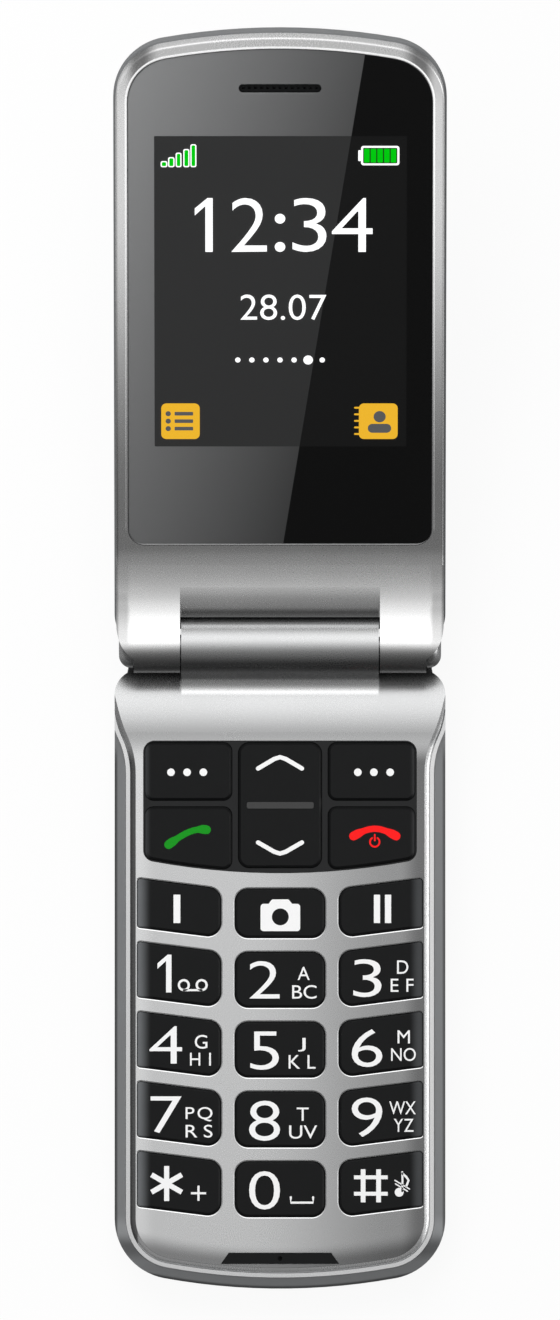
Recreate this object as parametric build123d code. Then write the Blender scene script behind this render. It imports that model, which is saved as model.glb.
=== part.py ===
from build123d import *

import os
from dataclasses import dataclass
from math import asin, atan2, cos, degrees, hypot, radians, sin, sqrt, tan

# A clamshell phone with large keys, in millimetres. The origin is on the flat back of the keypad
# half, midway between the hinge axis and the keypad end. +X is right, +Y runs from the keypad to
# the hinge and the lid, +Z is up out of the keypad. The lid is modelled at its open stop.
#
# Lengths along a half are given as v, the distance from the hinge axis, and heights as h, above
# the plane through the hinge axis where the two shut halves meet.

# ---- Overall sizes ----
WIDTH = 52.0
BASE_REACH = 101.0
LID_REACH = 101.0
BASE_DEPTH = 10.0
LID_DEPTH = 8.6
OPEN_ANGLE = 160.0
FACE_DROP = 0.25
END_RADIUS = 101.5
CORNER_RADIUS = 9.5
BACK_EDGE_RADIUS = 2.6
BASE_SHOULDER_START = 7.6
BASE_SHOULDER_RADIUS = 4.0
BASE_SHOULDER_ANGLE = 60.0
BASE_TAIL_ANGLE = 10.0
LID_SHOULDER_START = 4.5
LID_SHOULDER_RADIUS = 6.5
LID_SHOULDER_ANGLE = 56.0
LID_TAIL_ANGLE = 0.0

# ---- Hinge ----
BARREL_RADIUS = 4.4
BARREL_HALF_LENGTH = 15.5
KNUCKLE_RADIUS = 4.2
KNUCKLE_SIDE_GAP = 0.2
RAMP_START = 13.5
FOOT_RADIUS = 2.45
LIP_START = 9.9
LIP_RADIUS = 11.8
BASE_END = 0.4
LID_END = 0.3
LID_CENTRE_END = 1.2
BASE_BACK_ROUND = 5.2
BACK_DIP = 0.1
LID_BACK_RUN = 6.6
LID_BACK_STEP = 0.4
CARTRIDGE_RADIUS = 2.8
CARTRIDGE_LENGTH = 14.0
CAM_RADIUS = 1.85
CAM_LENGTH = 6.5
TIP_LENGTH = 4.2
TIP_FLATS = 2.6
SPRING_RADIUS = 1.4
SPRING_WIRE = 0.4
SPRING_TURNS = 5
BUSH_RADIUS = 2.4
BUSH_LENGTH = 4.0
PIN_RADIUS = 1.5
PIN_BORE = 1.0
PIN_LENGTH = 9.0
CAP_RADIUS = 3.4
CAP_THICKNESS = 2.2
CAP_INSET = 2.9
CAP_EDGE = 2.0
FLEX_ROLL_START = 1.0
FLEX_ROLL_RADIUS = 1.9
FLEX_START = 3.0
FLEX_WIDTH = 6.0
FLEX_THICKNESS = 0.15
FLEX_GAP = 0.2
FLEX_DROP = 0.6
RUNNING_FIT = 0.05
SEAT_FIT = 0.03
CARTRIDGE_END = 1.0

# ---- Shells of the base ----
BAND_WIDTH = 1.75
TRIM_WIDTH = 0.75
BAND_BEVEL = 1.6
RIM_BELOW_FACE = 1.15
TRIM_BELOW_FACE = 0.8
PANEL_SLOPE_WIDTH = 1.0
PANEL_SLOPE_DROP = 0.85
FLARE_START = 20.0
FLARE_END = 8.8
SHELL_GAP = 0.05
PLATE_THICKNESS = 1.3
SKIRT = 0.95
SPLIT_BELOW_FACE = 3.35
CAVITY_START = 12.5
SHELF_THICKNESS = 1.2
SIDE_WALL = 2.2
FLOOR_THICKNESS = 0.8

# ---- Shells of the lid ----
LID_SPLIT = 2.6
LID_LEDGE = 0.3
LID_WALL = 1.3
LID_BACK_WALL = 1.1
LID_BACK_RADIUS = 5.0
LID_RIM_EDGE = 0.4
LID_CAVITY_START = 11.0

# ---- Battery and its cover ----
COVER_THICKNESS = 0.9
COVER_INSET = 3.6
COVER_START = 8.8
COVER_GAP = 0.12
COVER_SEAT = 0.05
NOTCH_RADIUS = 2.2
BATTERY_SIDE_INSET = 8.3
BATTERY_END_INSET = 16.3
BATTERY_THICKNESS = 4.1
BATTERY_START = 30.3
BATTERY_GAP = 0.3
BATTERY_EDGE = 0.6
BAY_WALL = 1.4
CONNECTOR_WIDTH = 8.0
CONNECTOR_DEPTH = 3.2
CONTACT_COUNT = 3
CONTACT_WIDTH = 0.8

# ---- Board and the layers under the keys ----
WEB_THICKNESS = 0.75
BOARD_THICKNESS = 0.8
BOARD_GAP = 0.2
DOME_SHEET_THICKNESS = 0.15
DOME_RADIUS = 2.2
DOME_HEIGHT = 0.3
DOME_GAP = 0.1
MAT_GAP = 0.25
SHEET_METAL = 0.2
SHIELD_HEIGHT = 1.6
UPPER_SHIELD_WIDTH = 5.0
UPPER_SHIELD_LENGTH = 12.0
LOWER_SHIELD_INNER_X = 2.5
LOWER_SHIELD_SIDE_INSET = 4.5
LOWER_SHIELD_LENGTH = 3.4

# ---- Keys ----
KEY_RISE = 0.25
KEY_GAP = 0.12
KEY_TRAVEL = 0.3
KEY_SPARE = 0.1
KEY_BEVEL = 0.35
FLANGE = 0.3
FLANGE_THICKNESS = 0.4
COLUMN_GAP = 2.24
ROW_GAP = 2.32
CENTRE_KEY_EXTRA = 1.0
KEY_ROWS = 4
KEY_SIDE_MARGIN = 1.11
KEY_END_MARGIN = 11.39
KEY_RADIUS = 2.05
SIDE_KEY_RISE = 1.65
SIDE_ROLL_WIDTH = 2.2
SIDE_ROLL_DROP = 0.2
OUTER_RADIUS = 0.5
NUMBER_START = 48.05
MEMORY_START = 38.1
MEMORY_HEIGHT = 7.65

# ---- Upper key cluster ----
CLUSTER_SIDE_MARGIN = 2.05
CLUSTER_START = 14.85
CLUSTER_LENGTH = 20.75
CLUSTER_ARC = 110.0
CLUSTER_RADIUS = 1.75
CLUSTER_MARGIN = 0.3
CLUSTER_DROP = 0.1
ROCKER_WIDTH = 13.0
ROCKER_RADIUS = 1.7
ROCKER_TILT = 1.2
ROCKER_DOME_REACH = 6.5
CLUSTER_WEB = 1.1
SOFT_KEY_HEIGHT = 9.0
CLUSTER_KEY_RADIUS = 1.3

# ---- Small parts of the base ----
BASE_SCREW_INSET = 10.0
BASE_SCREW_START = 10.4
BASE_SCREW_END_INSET = 8.4
BOSS_RADIUS = 2.0
SCREW_RADIUS = 0.7
SCREW_HEAD_RADIUS = 1.35
SCREW_HEAD_HEIGHT = 0.9
SCREW_GAP = 0.15
MIC_INSET = 5.7
MIC_LENGTH = 1.75
MIC_TOP_WIDTH = 16.1
MIC_BOTTOM_WIDTH = 18.6
MIC_DEPTH = 0.6
MIC_HOLE_RADIUS = 0.35
MIC_CAN_RADIUS = 1.1
MIC_CAN_HEIGHT = 1.2
USB_WIDTH = 7.5
USB_HEIGHT = 2.6
USB_DEPTH = 5.0
USB_WALL = 0.25
USB_BACK = 0.75
USB_TONGUE_WIDTH = 3.8
USB_TONGUE_DROP = 1.0
USB_RECESS = 0.4
SPEAKER_WIDTH = 15.0
SPEAKER_LENGTH = 11.0
SPEAKER_HEIGHT = 3.6
SPEAKER_X = -11.0
SPEAKER_START = 14.5
GRILLE_SLOTS = 5
GRILLE_SLOT_WIDTH = 0.8
GRILLE_SLOT_LENGTH = 8.0
GRILLE_PITCH = 2.2
SIM_WIDTH = 15.0
SIM_LENGTH = 12.0
SIM_HEIGHT = 1.6
SIM_X = 10.5
SIM_START = 14.0
MOTOR_RADIUS = 1.9
MOTOR_SOCKET_GAP = 0.15
MOTOR_BOSS_GAP = 0.5
MOTOR_INSET = 6.9
WEIGHT_LENGTH = 2.6
ANTENNA_INNER_X = 2.0
ANTENNA_SIDE_INSET = 5.0
ANTENNA_HEIGHT = 3.4
ANTENNA_LENGTH = 3.4
VOLUME_START = 25.0
VOLUME_LENGTH = 16.0
VOLUME_HEIGHT = 2.6
VOLUME_ABOVE_BACK = 4.2
VOLUME_TILT = 1.2
VOLUME_CAP = 1.5
VOLUME_FLANGE = 0.6
VOLUME_SPARE = 0.12
VOLUME_GAP = 0.2

# ---- Lid contents ----
WINDOW_INSET = 2.2
WINDOW_START = 16.8
WINDOW_CORNER = 2.6
WINDOW_THICKNESS = 0.95
WINDOW_DROP = 0.08
WINDOW_GAP = 0.05
DISPLAY_SIDE_INSET = 5.8
DISPLAY_START = 29.5
DISPLAY_END_INSET = 14.5
DISPLAY_THICKNESS = 2.0
DISPLAY_GAP = 0.2
EARPIECE_INSET = 8.7
EARPIECE_SLOT_LENGTH = 12.8
EARPIECE_SLOT_WIDTH = 1.35
EARPIECE_WIDTH = 14.0
EARPIECE_LENGTH = 6.0
EARPIECE_HEIGHT = 2.2
GRILLE_HOLES = 13
GRILLE_HOLE_RADIUS = 0.25
LID_BOARD_SIDE_INSET = 6.0
LID_BOARD_START = 18.0
LID_BOARD_END_INSET = 15.0
LID_BOARD_THICKNESS = 0.7
OUTER_WINDOW_SIDE_INSET = 10.0
OUTER_WINDOW_START = 44.0
OUTER_WINDOW_END_INSET = 21.0
OUTER_WINDOW_RADIUS = 3.0
OUTER_WINDOW_THICKNESS = 0.8
OUTER_DISPLAY_MARGIN = 2.4
OUTER_DISPLAY_THICKNESS = 1.6
OUTER_DISPLAY_CORNER = 0.6
CAMERA_V = 30.0
CAMERA_SIDE = 8.0
CAMERA_BODY_HEIGHT = 2.0
CAMERA_BARREL_RADIUS = 3.0
CAMERA_WINDOW_RADIUS = 4.4
LID_SCREW_INSET = 3.7
LID_SCREW_START = 22.0
LID_SCREW_END_INSET = 15.0
LID_BOSS_RADIUS = 1.6
LID_SCREW_FLOOR = 1.0
MAGNET_WIDTH = 6.0
MAGNET_LENGTH = 3.0
MAGNET_HEIGHT = 1.4
MAGNET_X = 14.0
MAGNET_INSET = 7.5

# How far cutting shapes run past what they cut.
OVERRUN = 1.0

# ---- Places worked out from the sizes above ----
HALF_WIDTH = WIDTH / 2
BATTERY_WIDTH = WIDTH - 2 * BATTERY_SIDE_INSET
BATTERY_LENGTH = BASE_REACH - BATTERY_END_INSET - BATTERY_START
BASE_SCREW_X = HALF_WIDTH - BASE_SCREW_INSET
BASE_SCREW_ENDS = (BASE_SCREW_START, BASE_REACH - BASE_SCREW_END_INSET)
MIC_START = BASE_REACH - MIC_INSET
MOTOR_V = BASE_REACH - MOTOR_INSET
MOTOR_START_X = USB_WIDTH / 2 + MOTOR_SOCKET_GAP
MOTOR_LENGTH = BASE_SCREW_X - BOSS_RADIUS - MOTOR_BOSS_GAP - WEIGHT_LENGTH - MOTOR_START_X
MOTOR_X = MOTOR_START_X + MOTOR_LENGTH / 2
DISPLAY_WIDTH = WIDTH - 2 * DISPLAY_SIDE_INSET
DISPLAY_END = LID_REACH - DISPLAY_END_INSET
EARPIECE_V = LID_REACH - EARPIECE_INSET
LID_BOARD_WIDTH = WIDTH - 2 * LID_BOARD_SIDE_INSET
LID_BOARD_END = LID_REACH - LID_BOARD_END_INSET
OUTER_WINDOW_WIDTH = WIDTH - 2 * OUTER_WINDOW_SIDE_INSET
OUTER_WINDOW_LENGTH = LID_REACH - OUTER_WINDOW_END_INSET - OUTER_WINDOW_START
OUTER_WINDOW_V = OUTER_WINDOW_START + OUTER_WINDOW_LENGTH / 2
LID_SCREW_X = HALF_WIDTH - LID_SCREW_INSET
LID_SCREW_ENDS = (LID_SCREW_START, LID_REACH - LID_SCREW_END_INSET)
MAGNET_V = LID_REACH - MAGNET_INSET
HINGE_Y = BASE_REACH / 2
HINGE_Z = BASE_DEPTH
SHUT_GAP = 2 * FACE_DROP
FACE_Z = HINGE_Z - FACE_DROP
PLATE_BOTTOM = FACE_Z - PLATE_THICKNESS
SPLIT_Z = FACE_Z - SPLIT_BELOW_FACE
PANEL_INSET = BAND_WIDTH + TRIM_WIDTH
SHELF_INSET = PANEL_INSET + SKIRT
COVER_DEPTH = COVER_THICKNESS + COVER_SEAT
FLOOR_TOP = COVER_DEPTH + FLOOR_THICKNESS
BATTERY_BOTTOM = COVER_DEPTH
WEB_BOTTOM = BATTERY_BOTTOM + BATTERY_THICKNESS + SHELL_GAP
WEB_TOP = WEB_BOTTOM + WEB_THICKNESS
BOARD_TOP = WEB_TOP + BOARD_THICKNESS
DOME_SHEET_TOP = BOARD_TOP + DOME_SHEET_THICKNESS
FLANGE_TOP = PLATE_BOTTOM - KEY_SPARE
MAT_TOP = FLANGE_TOP - FLANGE_THICKNESS - KEY_TRAVEL - MAT_GAP
KEY_TOP = FACE_Z + KEY_RISE
ROCKER_LENGTH = CLUSTER_LENGTH - 2 * CLUSTER_MARGIN - CLUSTER_WEB / 2
ROCKER_V = CLUSTER_START + CLUSTER_MARGIN + ROCKER_LENGTH / 2
ROCKER_FLANGE_TOP = FLANGE_TOP - ROCKER_LENGTH / 2 * sin(radians(ROCKER_TILT))
VOLUME_FLANGE_GAP = VOLUME_SPARE + (VOLUME_LENGTH / 2 + FLANGE) * sin(radians(VOLUME_TILT))
MIC_V = MIC_START + MIC_LENGTH / 2
FLEX_BOTTOM = HINGE_Z - FLEX_ROLL_RADIUS
BAY_START = BATTERY_START - BATTERY_GAP
BAY_END = BATTERY_START + BATTERY_LENGTH + BATTERY_GAP
BAY_HALF_WIDTH = BATTERY_WIDTH / 2 + BATTERY_GAP
LOWER_ROOM_START = BAY_END + BAY_WALL + BOARD_GAP
SHEETS_START = CAVITY_START + FLEX_DROP + BOARD_GAP
KNUCKLE_START = BARREL_HALF_LENGTH + KNUCKLE_SIDE_GAP
TALL = HINGE_Z + 2 * BARREL_RADIUS
PAST_HINGE = -BARREL_RADIUS - OVERRUN
KEY_FIELD_WIDTH = WIDTH - 2 * (PANEL_INSET + KEY_SIDE_MARGIN)
SIDE_KEY_WIDTH = (KEY_FIELD_WIDTH - 2 * COLUMN_GAP - CENTRE_KEY_EXTRA) / 3
CENTRE_KEY_WIDTH = SIDE_KEY_WIDTH + CENTRE_KEY_EXTRA
SIDE_COLUMN_X = CENTRE_KEY_WIDTH / 2 + COLUMN_GAP
KEY_PITCH = (BASE_REACH - KEY_END_MARGIN - NUMBER_START + ROW_GAP) / KEY_ROWS
KEY_HEIGHT = KEY_PITCH - ROW_GAP
CLUSTER_HALF_WIDTH = HALF_WIDTH - PANEL_INSET - CLUSTER_SIDE_MARGIN
RAMP_RADIUS = (RAMP_START**2 + FACE_DROP**2 - KNUCKLE_RADIUS**2) / (2 * (KNUCKLE_RADIUS + FACE_DROP))
ROLL_RADIUS = RAMP_RADIUS - SHUT_GAP
WINDOW_TOP = -(FACE_DROP + WINDOW_DROP)
WINDOW_BOTTOM = WINDOW_TOP - WINDOW_THICKNESS
DISPLAY_BOTTOM = WINDOW_BOTTOM - DISPLAY_THICKNESS
LID_BOARD_TOP = DISPLAY_BOTTOM - DISPLAY_GAP
LID_BOARD_BOTTOM = LID_BOARD_TOP - LID_BOARD_THICKNESS
LID_CAVITY_BOTTOM = -(LID_DEPTH - LID_BACK_WALL)
LID_SCREW_BOTTOM = LID_CAVITY_BOTTOM + LID_SCREW_FLOOR
OUTER_WINDOW_TOP = -(LID_DEPTH - OUTER_WINDOW_THICKNESS)
OUTER_DISPLAY_TOP = OUTER_WINDOW_TOP + SHELL_GAP + OUTER_DISPLAY_THICKNESS


@dataclass(frozen=True)
class Half:
    """One half of the phone, laid flat: sense is -1 for the base and +1 for the lid."""

    sense: int
    reach: float
    shoulder_v: float
    shoulder_radius: float
    shoulder_turn: float
    tail_lean: float

    def plan(self, x, v):
        """Point in the horizontal plane at height zero."""
        return (x, HINGE_Y + self.sense * v, 0)

    def side(self, v, h):
        """Point in the upright plane x = 0."""
        return (0, HINGE_Y + self.sense * v, HINGE_Z + h)

    def place(self, x, v, h):
        """Translation to a point of this half."""
        return Pos(x, HINGE_Y + self.sense * v, HINGE_Z + h)


BASE = Half(-1, BASE_REACH, BASE_SHOULDER_START, BASE_SHOULDER_RADIUS, BASE_SHOULDER_ANGLE, BASE_TAIL_ANGLE)
LID = Half(1, LID_REACH, LID_SHOULDER_START, LID_SHOULDER_RADIUS, LID_SHOULDER_ANGLE, LID_TAIL_ANGLE)


# ---- Outlines and profiles ----
def turned(centre, radius, angle):
    """Point at an angle, in degrees, on a circle."""
    return (centre[0] + radius * cos(radians(angle)), centre[1] + radius * sin(radians(angle)))


def arc_left(centre, radius, start, end):
    """Middle and end points of a counter-clockwise arc between two angles, as one step of a path."""
    turn = (end - start) % 360
    return (turned(centre, radius, start + turn / 2), turned(centre, radius, end))


def arc_right(centre, radius, start, end):
    """Middle and end points of a clockwise arc between two angles, as one step of a path."""
    turn = (start - end) % 360
    return (turned(centre, radius, start - turn / 2), turned(centre, radius, end))


def path_edges(path, to_space):
    """Edges along a path: its first entry is a point, and each later one the points of a line or an arc."""
    edges = []
    here = path[0]
    for step in path[1:]:
        points = [to_space(*point) for point in (here, *step)]
        edges.append(Line(*points) if len(points) == 2 else ThreePointArc(*points))
        here = step[-1]
    return edges


def mirrored_face(half, path):
    """Face whose +X side is the path, from the hinge end to the middle of the far end."""
    edges = []
    for side in (1, -1):
        edges += path_edges(path, lambda x, v: half.plan(side * x, v))
    x, v = path[0]
    edges.append(Line(half.plan(-x, v), half.plan(x, v)))
    return make_face(edges)


def far_end_steps(half, inset):
    """Path steps of a side's last straight, its corner and the crowned far end."""
    half_width = HALF_WIDTH - inset
    end_radius = END_RADIUS - inset
    corner_radius = CORNER_RADIUS - inset
    end_centre = (0, half.reach - END_RADIUS)
    corner_x = half_width - corner_radius
    corner_v = end_centre[1] + sqrt((end_radius - corner_radius) ** 2 - corner_x**2)
    turn = degrees(atan2(corner_v - end_centre[1], corner_x))
    return [
        ((half_width, corner_v),),
        arc_left((corner_x, corner_v), corner_radius, 0, turn),
        arc_left(end_centre, end_radius, turn, 90),
    ]


def cut_outline(half, inset, start):
    """Outline set in from a half's edge, with a straight hinge end at v = start."""
    return mirrored_face(half, [(HALF_WIDTH - inset, start), *far_end_steps(half, inset)])


def full_outline(half, inset=0.0):
    """Outline of a half with its rounded shoulders, past the hinge axis."""
    half_width = HALF_WIDTH - inset
    radius = half.shoulder_radius - inset
    centre = (half_width - radius, half.shoulder_v)
    neck = turned(centre, radius, -half.shoulder_turn)
    tail_x = neck[0] - (neck[1] - PAST_HINGE) * tan(radians(half.tail_lean))
    path = [(tail_x, PAST_HINGE), (neck,), arc_left(centre, radius, -half.shoulder_turn, 0)]
    return mirrored_face(half, path + far_end_steps(half, inset))


def panel_outline(grow=0.0):
    """Outline of the keypad face: it flares to the full width at the shoulders."""
    inset = PANEL_INSET - grow
    narrow = HALF_WIDTH - inset
    wide = HALF_WIDTH + grow
    half_side = (wide - narrow) / 2
    half_run = (FLARE_START - FLARE_END) / 2
    radius = (half_run**2 + half_side**2) / (2 * half_side)
    bend = degrees(asin(half_run / radius))
    path = [
        (wide, PAST_HINGE),
        ((wide, FLARE_END),),
        arc_left((wide - radius, FLARE_END), radius, 0, bend),
        arc_right((narrow + radius, FLARE_START), radius, 180 + bend, 180),
    ]
    return mirrored_face(BASE, path + far_end_steps(BASE, inset))


def prism(face, bottom, top):
    """Upright solid between two heights."""
    return Pos(0, 0, bottom) * extrude(face, amount=top - bottom, dir=(0, 0, 1))


def lid_prism(face, bottom, top):
    """Upright solid between two heights h of the lid laid flat."""
    return prism(face, HINGE_Z + bottom, HINGE_Z + top)


def block(half, x0, x1, v0, v1, z0, z1):
    """Box between limits across, along and up."""
    centre = half.place((x0 + x1) / 2, (v0 + v1) / 2, (z0 + z1) / 2 - HINGE_Z)
    return centre * Box(x1 - x0, v1 - v0, z1 - z0)


def lid_block(width, v0, v1, h0, h1, x=0.0):
    """Box in the lid laid flat, centred across on x."""
    return block(LID, x - width / 2, x + width / 2, v0, v1, HINGE_Z + h0, HINGE_Z + h1)


def post(half, x, v, radius, z0, z1):
    """Upright cylinder."""
    return half.place(x, v, (z0 + z1) / 2 - HINGE_Z) * Cylinder(radius, z1 - z0)


def lid_post(x, v, radius, h0, h1):
    """Upright cylinder in the lid laid flat."""
    return post(LID, x, v, radius, HINGE_Z + h0, HINGE_Z + h1)


def rod(radius, x0, x1):
    """Cylinder along the hinge axis."""
    return Pos((x0 + x1) / 2, HINGE_Y, HINGE_Z) * Rot(0, 90, 0) * Cylinder(radius, x1 - x0)


def profile_slab(half, path, x0, x1):
    """Side profile of a half carried across from x0 to x1."""
    edges = path_edges(path, half.side)
    edges.append(Line(half.side(*path[-1][-1]), half.side(*path[0])))
    return Pos(x0, 0, 0) * extrude(make_face(edges), amount=x1 - x0, dir=(1, 0, 0))


def direction(start, end):
    """Angle in degrees from one point to another."""
    return degrees(atan2(end[1] - start[1], end[0] - start[0]))


def upper_meeting(from_axis, centre, from_centre):
    """Upper point at one distance from the hinge axis and another from a centre below it."""
    span = hypot(*centre)
    along = (from_axis**2 - from_centre**2 + span**2) / (2 * span)
    lean = direction((0, 0), centre) + degrees(atan2(sqrt(from_axis**2 - along**2), along))
    return turned((0, 0), from_axis, lean)


def foot_centre():
    """Centre of the fillet between the base's rolled-off face and the barrel."""
    roll_centre = (RAMP_START, FACE_DROP - RAMP_RADIUS)
    return upper_meeting(BARREL_RADIUS + FOOT_RADIUS, roll_centre, ROLL_RADIUS + FOOT_RADIUS)


def base_back_steps():
    """Rounded hinge end of the base's back, then on below the back, which the outline's solid ends."""
    centre = (BASE_END + BASE_BACK_ROUND, BASE_BACK_ROUND - BASE_DEPTH - BACK_DIP)
    return [
        ((BASE_END, centre[1]),),
        arc_left(centre, BASE_BACK_ROUND, 180, 270),
        ((BASE_REACH + OVERRUN, -BASE_DEPTH - BACK_DIP),),
    ]


def base_side_profile():
    """Shoulder of the base: the face rolls off and is hollowed round the lid's knuckle."""
    roll_centre = (RAMP_START, FACE_DROP - RAMP_RADIUS)
    hollow = KNUCKLE_RADIUS + SHUT_GAP
    to_axis = direction(roll_centre, (0, 0))
    bottom = -degrees(atan2(sqrt(hollow**2 - BASE_END**2), BASE_END))
    return [
        (BASE_REACH + OVERRUN, -FACE_DROP),
        ((RAMP_START, -FACE_DROP),),
        arc_left(roll_centre, ROLL_RADIUS, 90, to_axis),
        arc_right((0, 0), hollow, to_axis - 180, bottom),
        *base_back_steps(),
    ]


def base_centre_profile():
    """Middle of the base: the face rolls off to a foot that rises into the barrel."""
    roll_centre = (RAMP_START, FACE_DROP - RAMP_RADIUS)
    foot = foot_centre()
    bottom = -degrees(atan2(sqrt(BARREL_RADIUS**2 - BASE_END**2), BASE_END))
    return [
        (BASE_REACH + OVERRUN, -FACE_DROP),
        ((RAMP_START, -FACE_DROP),),
        arc_left(roll_centre, ROLL_RADIUS, 90, direction(roll_centre, foot)),
        arc_right(foot, FOOT_RADIUS, direction(foot, roll_centre), direction(foot, (0, 0))),
        arc_left((0, 0), BARREL_RADIUS, direction((0, 0), foot), bottom),
        *base_back_steps(),
    ]


def lid_back_steps(start):
    """Rounded hinge end of the lid's back from v = start, then on below the back."""
    rise = LID_DEPTH + BACK_DIP - KNUCKLE_RADIUS - LID_BACK_STEP
    radius = (LID_BACK_RUN**2 + rise**2) / (2 * rise)
    centre = (LID_END + LID_BACK_RUN, radius - LID_DEPTH - BACK_DIP)
    entry = (start, centre[1] - sqrt(radius**2 - (centre[0] - start) ** 2))
    return [
        (entry,),
        arc_left(centre, radius, direction(centre, entry), -90),
        ((LID_REACH + OVERRUN, -LID_DEPTH - BACK_DIP),),
    ]


def lid_side_profile():
    """Side of the lid: its face ramps up into the knuckle."""
    ramp_centre = (RAMP_START, RAMP_RADIUS - FACE_DROP)
    to_axis = direction(ramp_centre, (0, 0))
    bottom = -degrees(atan2(sqrt(KNUCKLE_RADIUS**2 - LID_END**2), LID_END))
    return [
        (LID_REACH + OVERRUN, -FACE_DROP),
        ((RAMP_START, -FACE_DROP),),
        arc_right(ramp_centre, RAMP_RADIUS, -90, to_axis),
        arc_left((0, 0), KNUCKLE_RADIUS, to_axis + 180, bottom),
        *lid_back_steps(LID_END),
    ]


def lid_centre_profile():
    """Middle of the lid: the ramp rolls over into a lip, hollowed round the barrel."""
    ramp_centre = (RAMP_START, RAMP_RADIUS - FACE_DROP)
    turn = degrees(asin((RAMP_START - LIP_START) / RAMP_RADIUS))
    crest = turned(ramp_centre, RAMP_RADIUS, -90 - turn)
    lip_centre = turned(crest, LIP_RADIUS, -90 - turn)
    hollow = BARREL_RADIUS + SHUT_GAP
    lip_end = upper_meeting(hollow, lip_centre, LIP_RADIUS)
    bottom = -degrees(atan2(sqrt(hollow**2 - LID_CENTRE_END**2), LID_CENTRE_END))
    return [
        (LID_REACH + OVERRUN, -FACE_DROP),
        ((RAMP_START, -FACE_DROP),),
        arc_right(ramp_centre, RAMP_RADIUS, -90, -90 - turn),
        arc_left(lip_centre, LIP_RADIUS, 90 - turn, direction(lip_centre, lip_end)),
        arc_right((0, 0), hollow, direction((0, 0), lip_end), bottom),
        *lid_back_steps(LID_CENTRE_END),
    ]


def three_slabs(half, side_path, centre_path, centre_half_width):
    """A half's side profile at both sides of its centre profile."""
    outer = HALF_WIDTH + OVERRUN
    return (
        profile_slab(half, centre_path, -centre_half_width, centre_half_width)
        + profile_slab(half, side_path, -outer, -centre_half_width)
        + profile_slab(half, side_path, centre_half_width, outer)
    )


def edges_at(solid, position, axis=Axis.Z):
    """Edges that lie in one plane square to an axis."""
    return solid.edges().filter_by_position(axis, position - SEAT_FIT, position + SEAT_FIT)


# ---- Key outlines ----
def centre_key_face(start, height, grow=0.0):
    """Rounded rectangle in the middle column."""
    face = RectangleRounded(CENTRE_KEY_WIDTH + 2 * grow, height + 2 * grow, KEY_RADIUS + grow)
    return Pos(0, HINGE_Y - start - height / 2) * face


def side_key_face(side, start, height, grow=0.0):
    """Key of an outer column, whose top and bottom edges rise away from the middle."""
    slope = SIDE_KEY_RISE / SIDE_KEY_WIDTH
    edge_shift = grow * sqrt(1 + slope**2)
    inner = SIDE_COLUMN_X - grow
    outer = SIDE_COLUMN_X + SIDE_KEY_WIDTH + grow
    corners = []
    for x, v in ((inner, start - edge_shift), (outer, start - edge_shift),
                 (outer, start + height + edge_shift), (inner, start + height + edge_shift)):
        corners.append(Vector(*BASE.plan(side * x, v - (x - SIDE_COLUMN_X) * slope)))
    face = make_face(Polyline(*corners, close=True))
    inner_corners = [corner for corner in face.vertices() if abs(corner.X) < (inner + outer) / 2]
    face = fillet(inner_corners, KEY_RADIUS + grow)
    outer_corners = [corner for corner in face.vertices() if abs(corner.X) > outer - OUTER_RADIUS / 2]
    return fillet(outer_corners, OUTER_RADIUS + grow)


def cluster_face(grow=0.0):
    """Outline of the upper key cluster, with a bowed lower edge."""
    width = 2 * (CLUSTER_HALF_WIDTH + grow)
    top = CLUSTER_START - grow
    bottom = CLUSTER_START + CLUSTER_LENGTH + grow
    face = Pos(0, HINGE_Y - (top + bottom) / 2) * Rectangle(width, bottom - top)
    bow = Pos(0, HINGE_Y - bottom + CLUSTER_ARC) * Circle(CLUSTER_ARC)
    face = face & bow
    return fillet(face.vertices(), CLUSTER_RADIUS + grow)


def soft_key_face(side, grow=0.0):
    """Upper outer key of the cluster."""
    inner = ROCKER_WIDTH / 2 + CLUSTER_WEB - grow
    outer = CLUSTER_HALF_WIDTH - CLUSTER_MARGIN + grow
    height = SOFT_KEY_HEIGHT + 2 * grow
    centre_v = CLUSTER_START + CLUSTER_MARGIN + SOFT_KEY_HEIGHT / 2
    face = RectangleRounded(outer - inner, height, CLUSTER_KEY_RADIUS + grow)
    return Pos(side * (inner + outer) / 2, HINGE_Y - centre_v) * face


def call_key_face(side, grow=0.0):
    """Lower outer key of the cluster, whose lower edge follows the cluster's bow."""
    inner = ROCKER_WIDTH / 2 + CLUSTER_WEB - grow
    outer = CLUSTER_HALF_WIDTH - CLUSTER_MARGIN + grow
    top = CLUSTER_START + CLUSTER_MARGIN + SOFT_KEY_HEIGHT + CLUSTER_WEB - grow
    bottom = CLUSTER_START + CLUSTER_LENGTH
    centre = Pos(side * (inner + outer) / 2, HINGE_Y - (top + bottom) / 2)
    face = centre * Rectangle(outer - inner, bottom - top)
    bow_radius = CLUSTER_ARC - CLUSTER_MARGIN + grow
    bow = Pos(0, HINGE_Y - bottom + CLUSTER_ARC) * Circle(bow_radius)
    face = face & bow
    return fillet(face.vertices(), CLUSTER_KEY_RADIUS + grow)


def rocker_face(grow=0.0):
    """Rocker between the outer keys of the cluster."""
    face = RectangleRounded(ROCKER_WIDTH + 2 * grow, ROCKER_LENGTH + 2 * grow, ROCKER_RADIUS + grow)
    return Pos(0, HINGE_Y - ROCKER_V) * face


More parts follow.
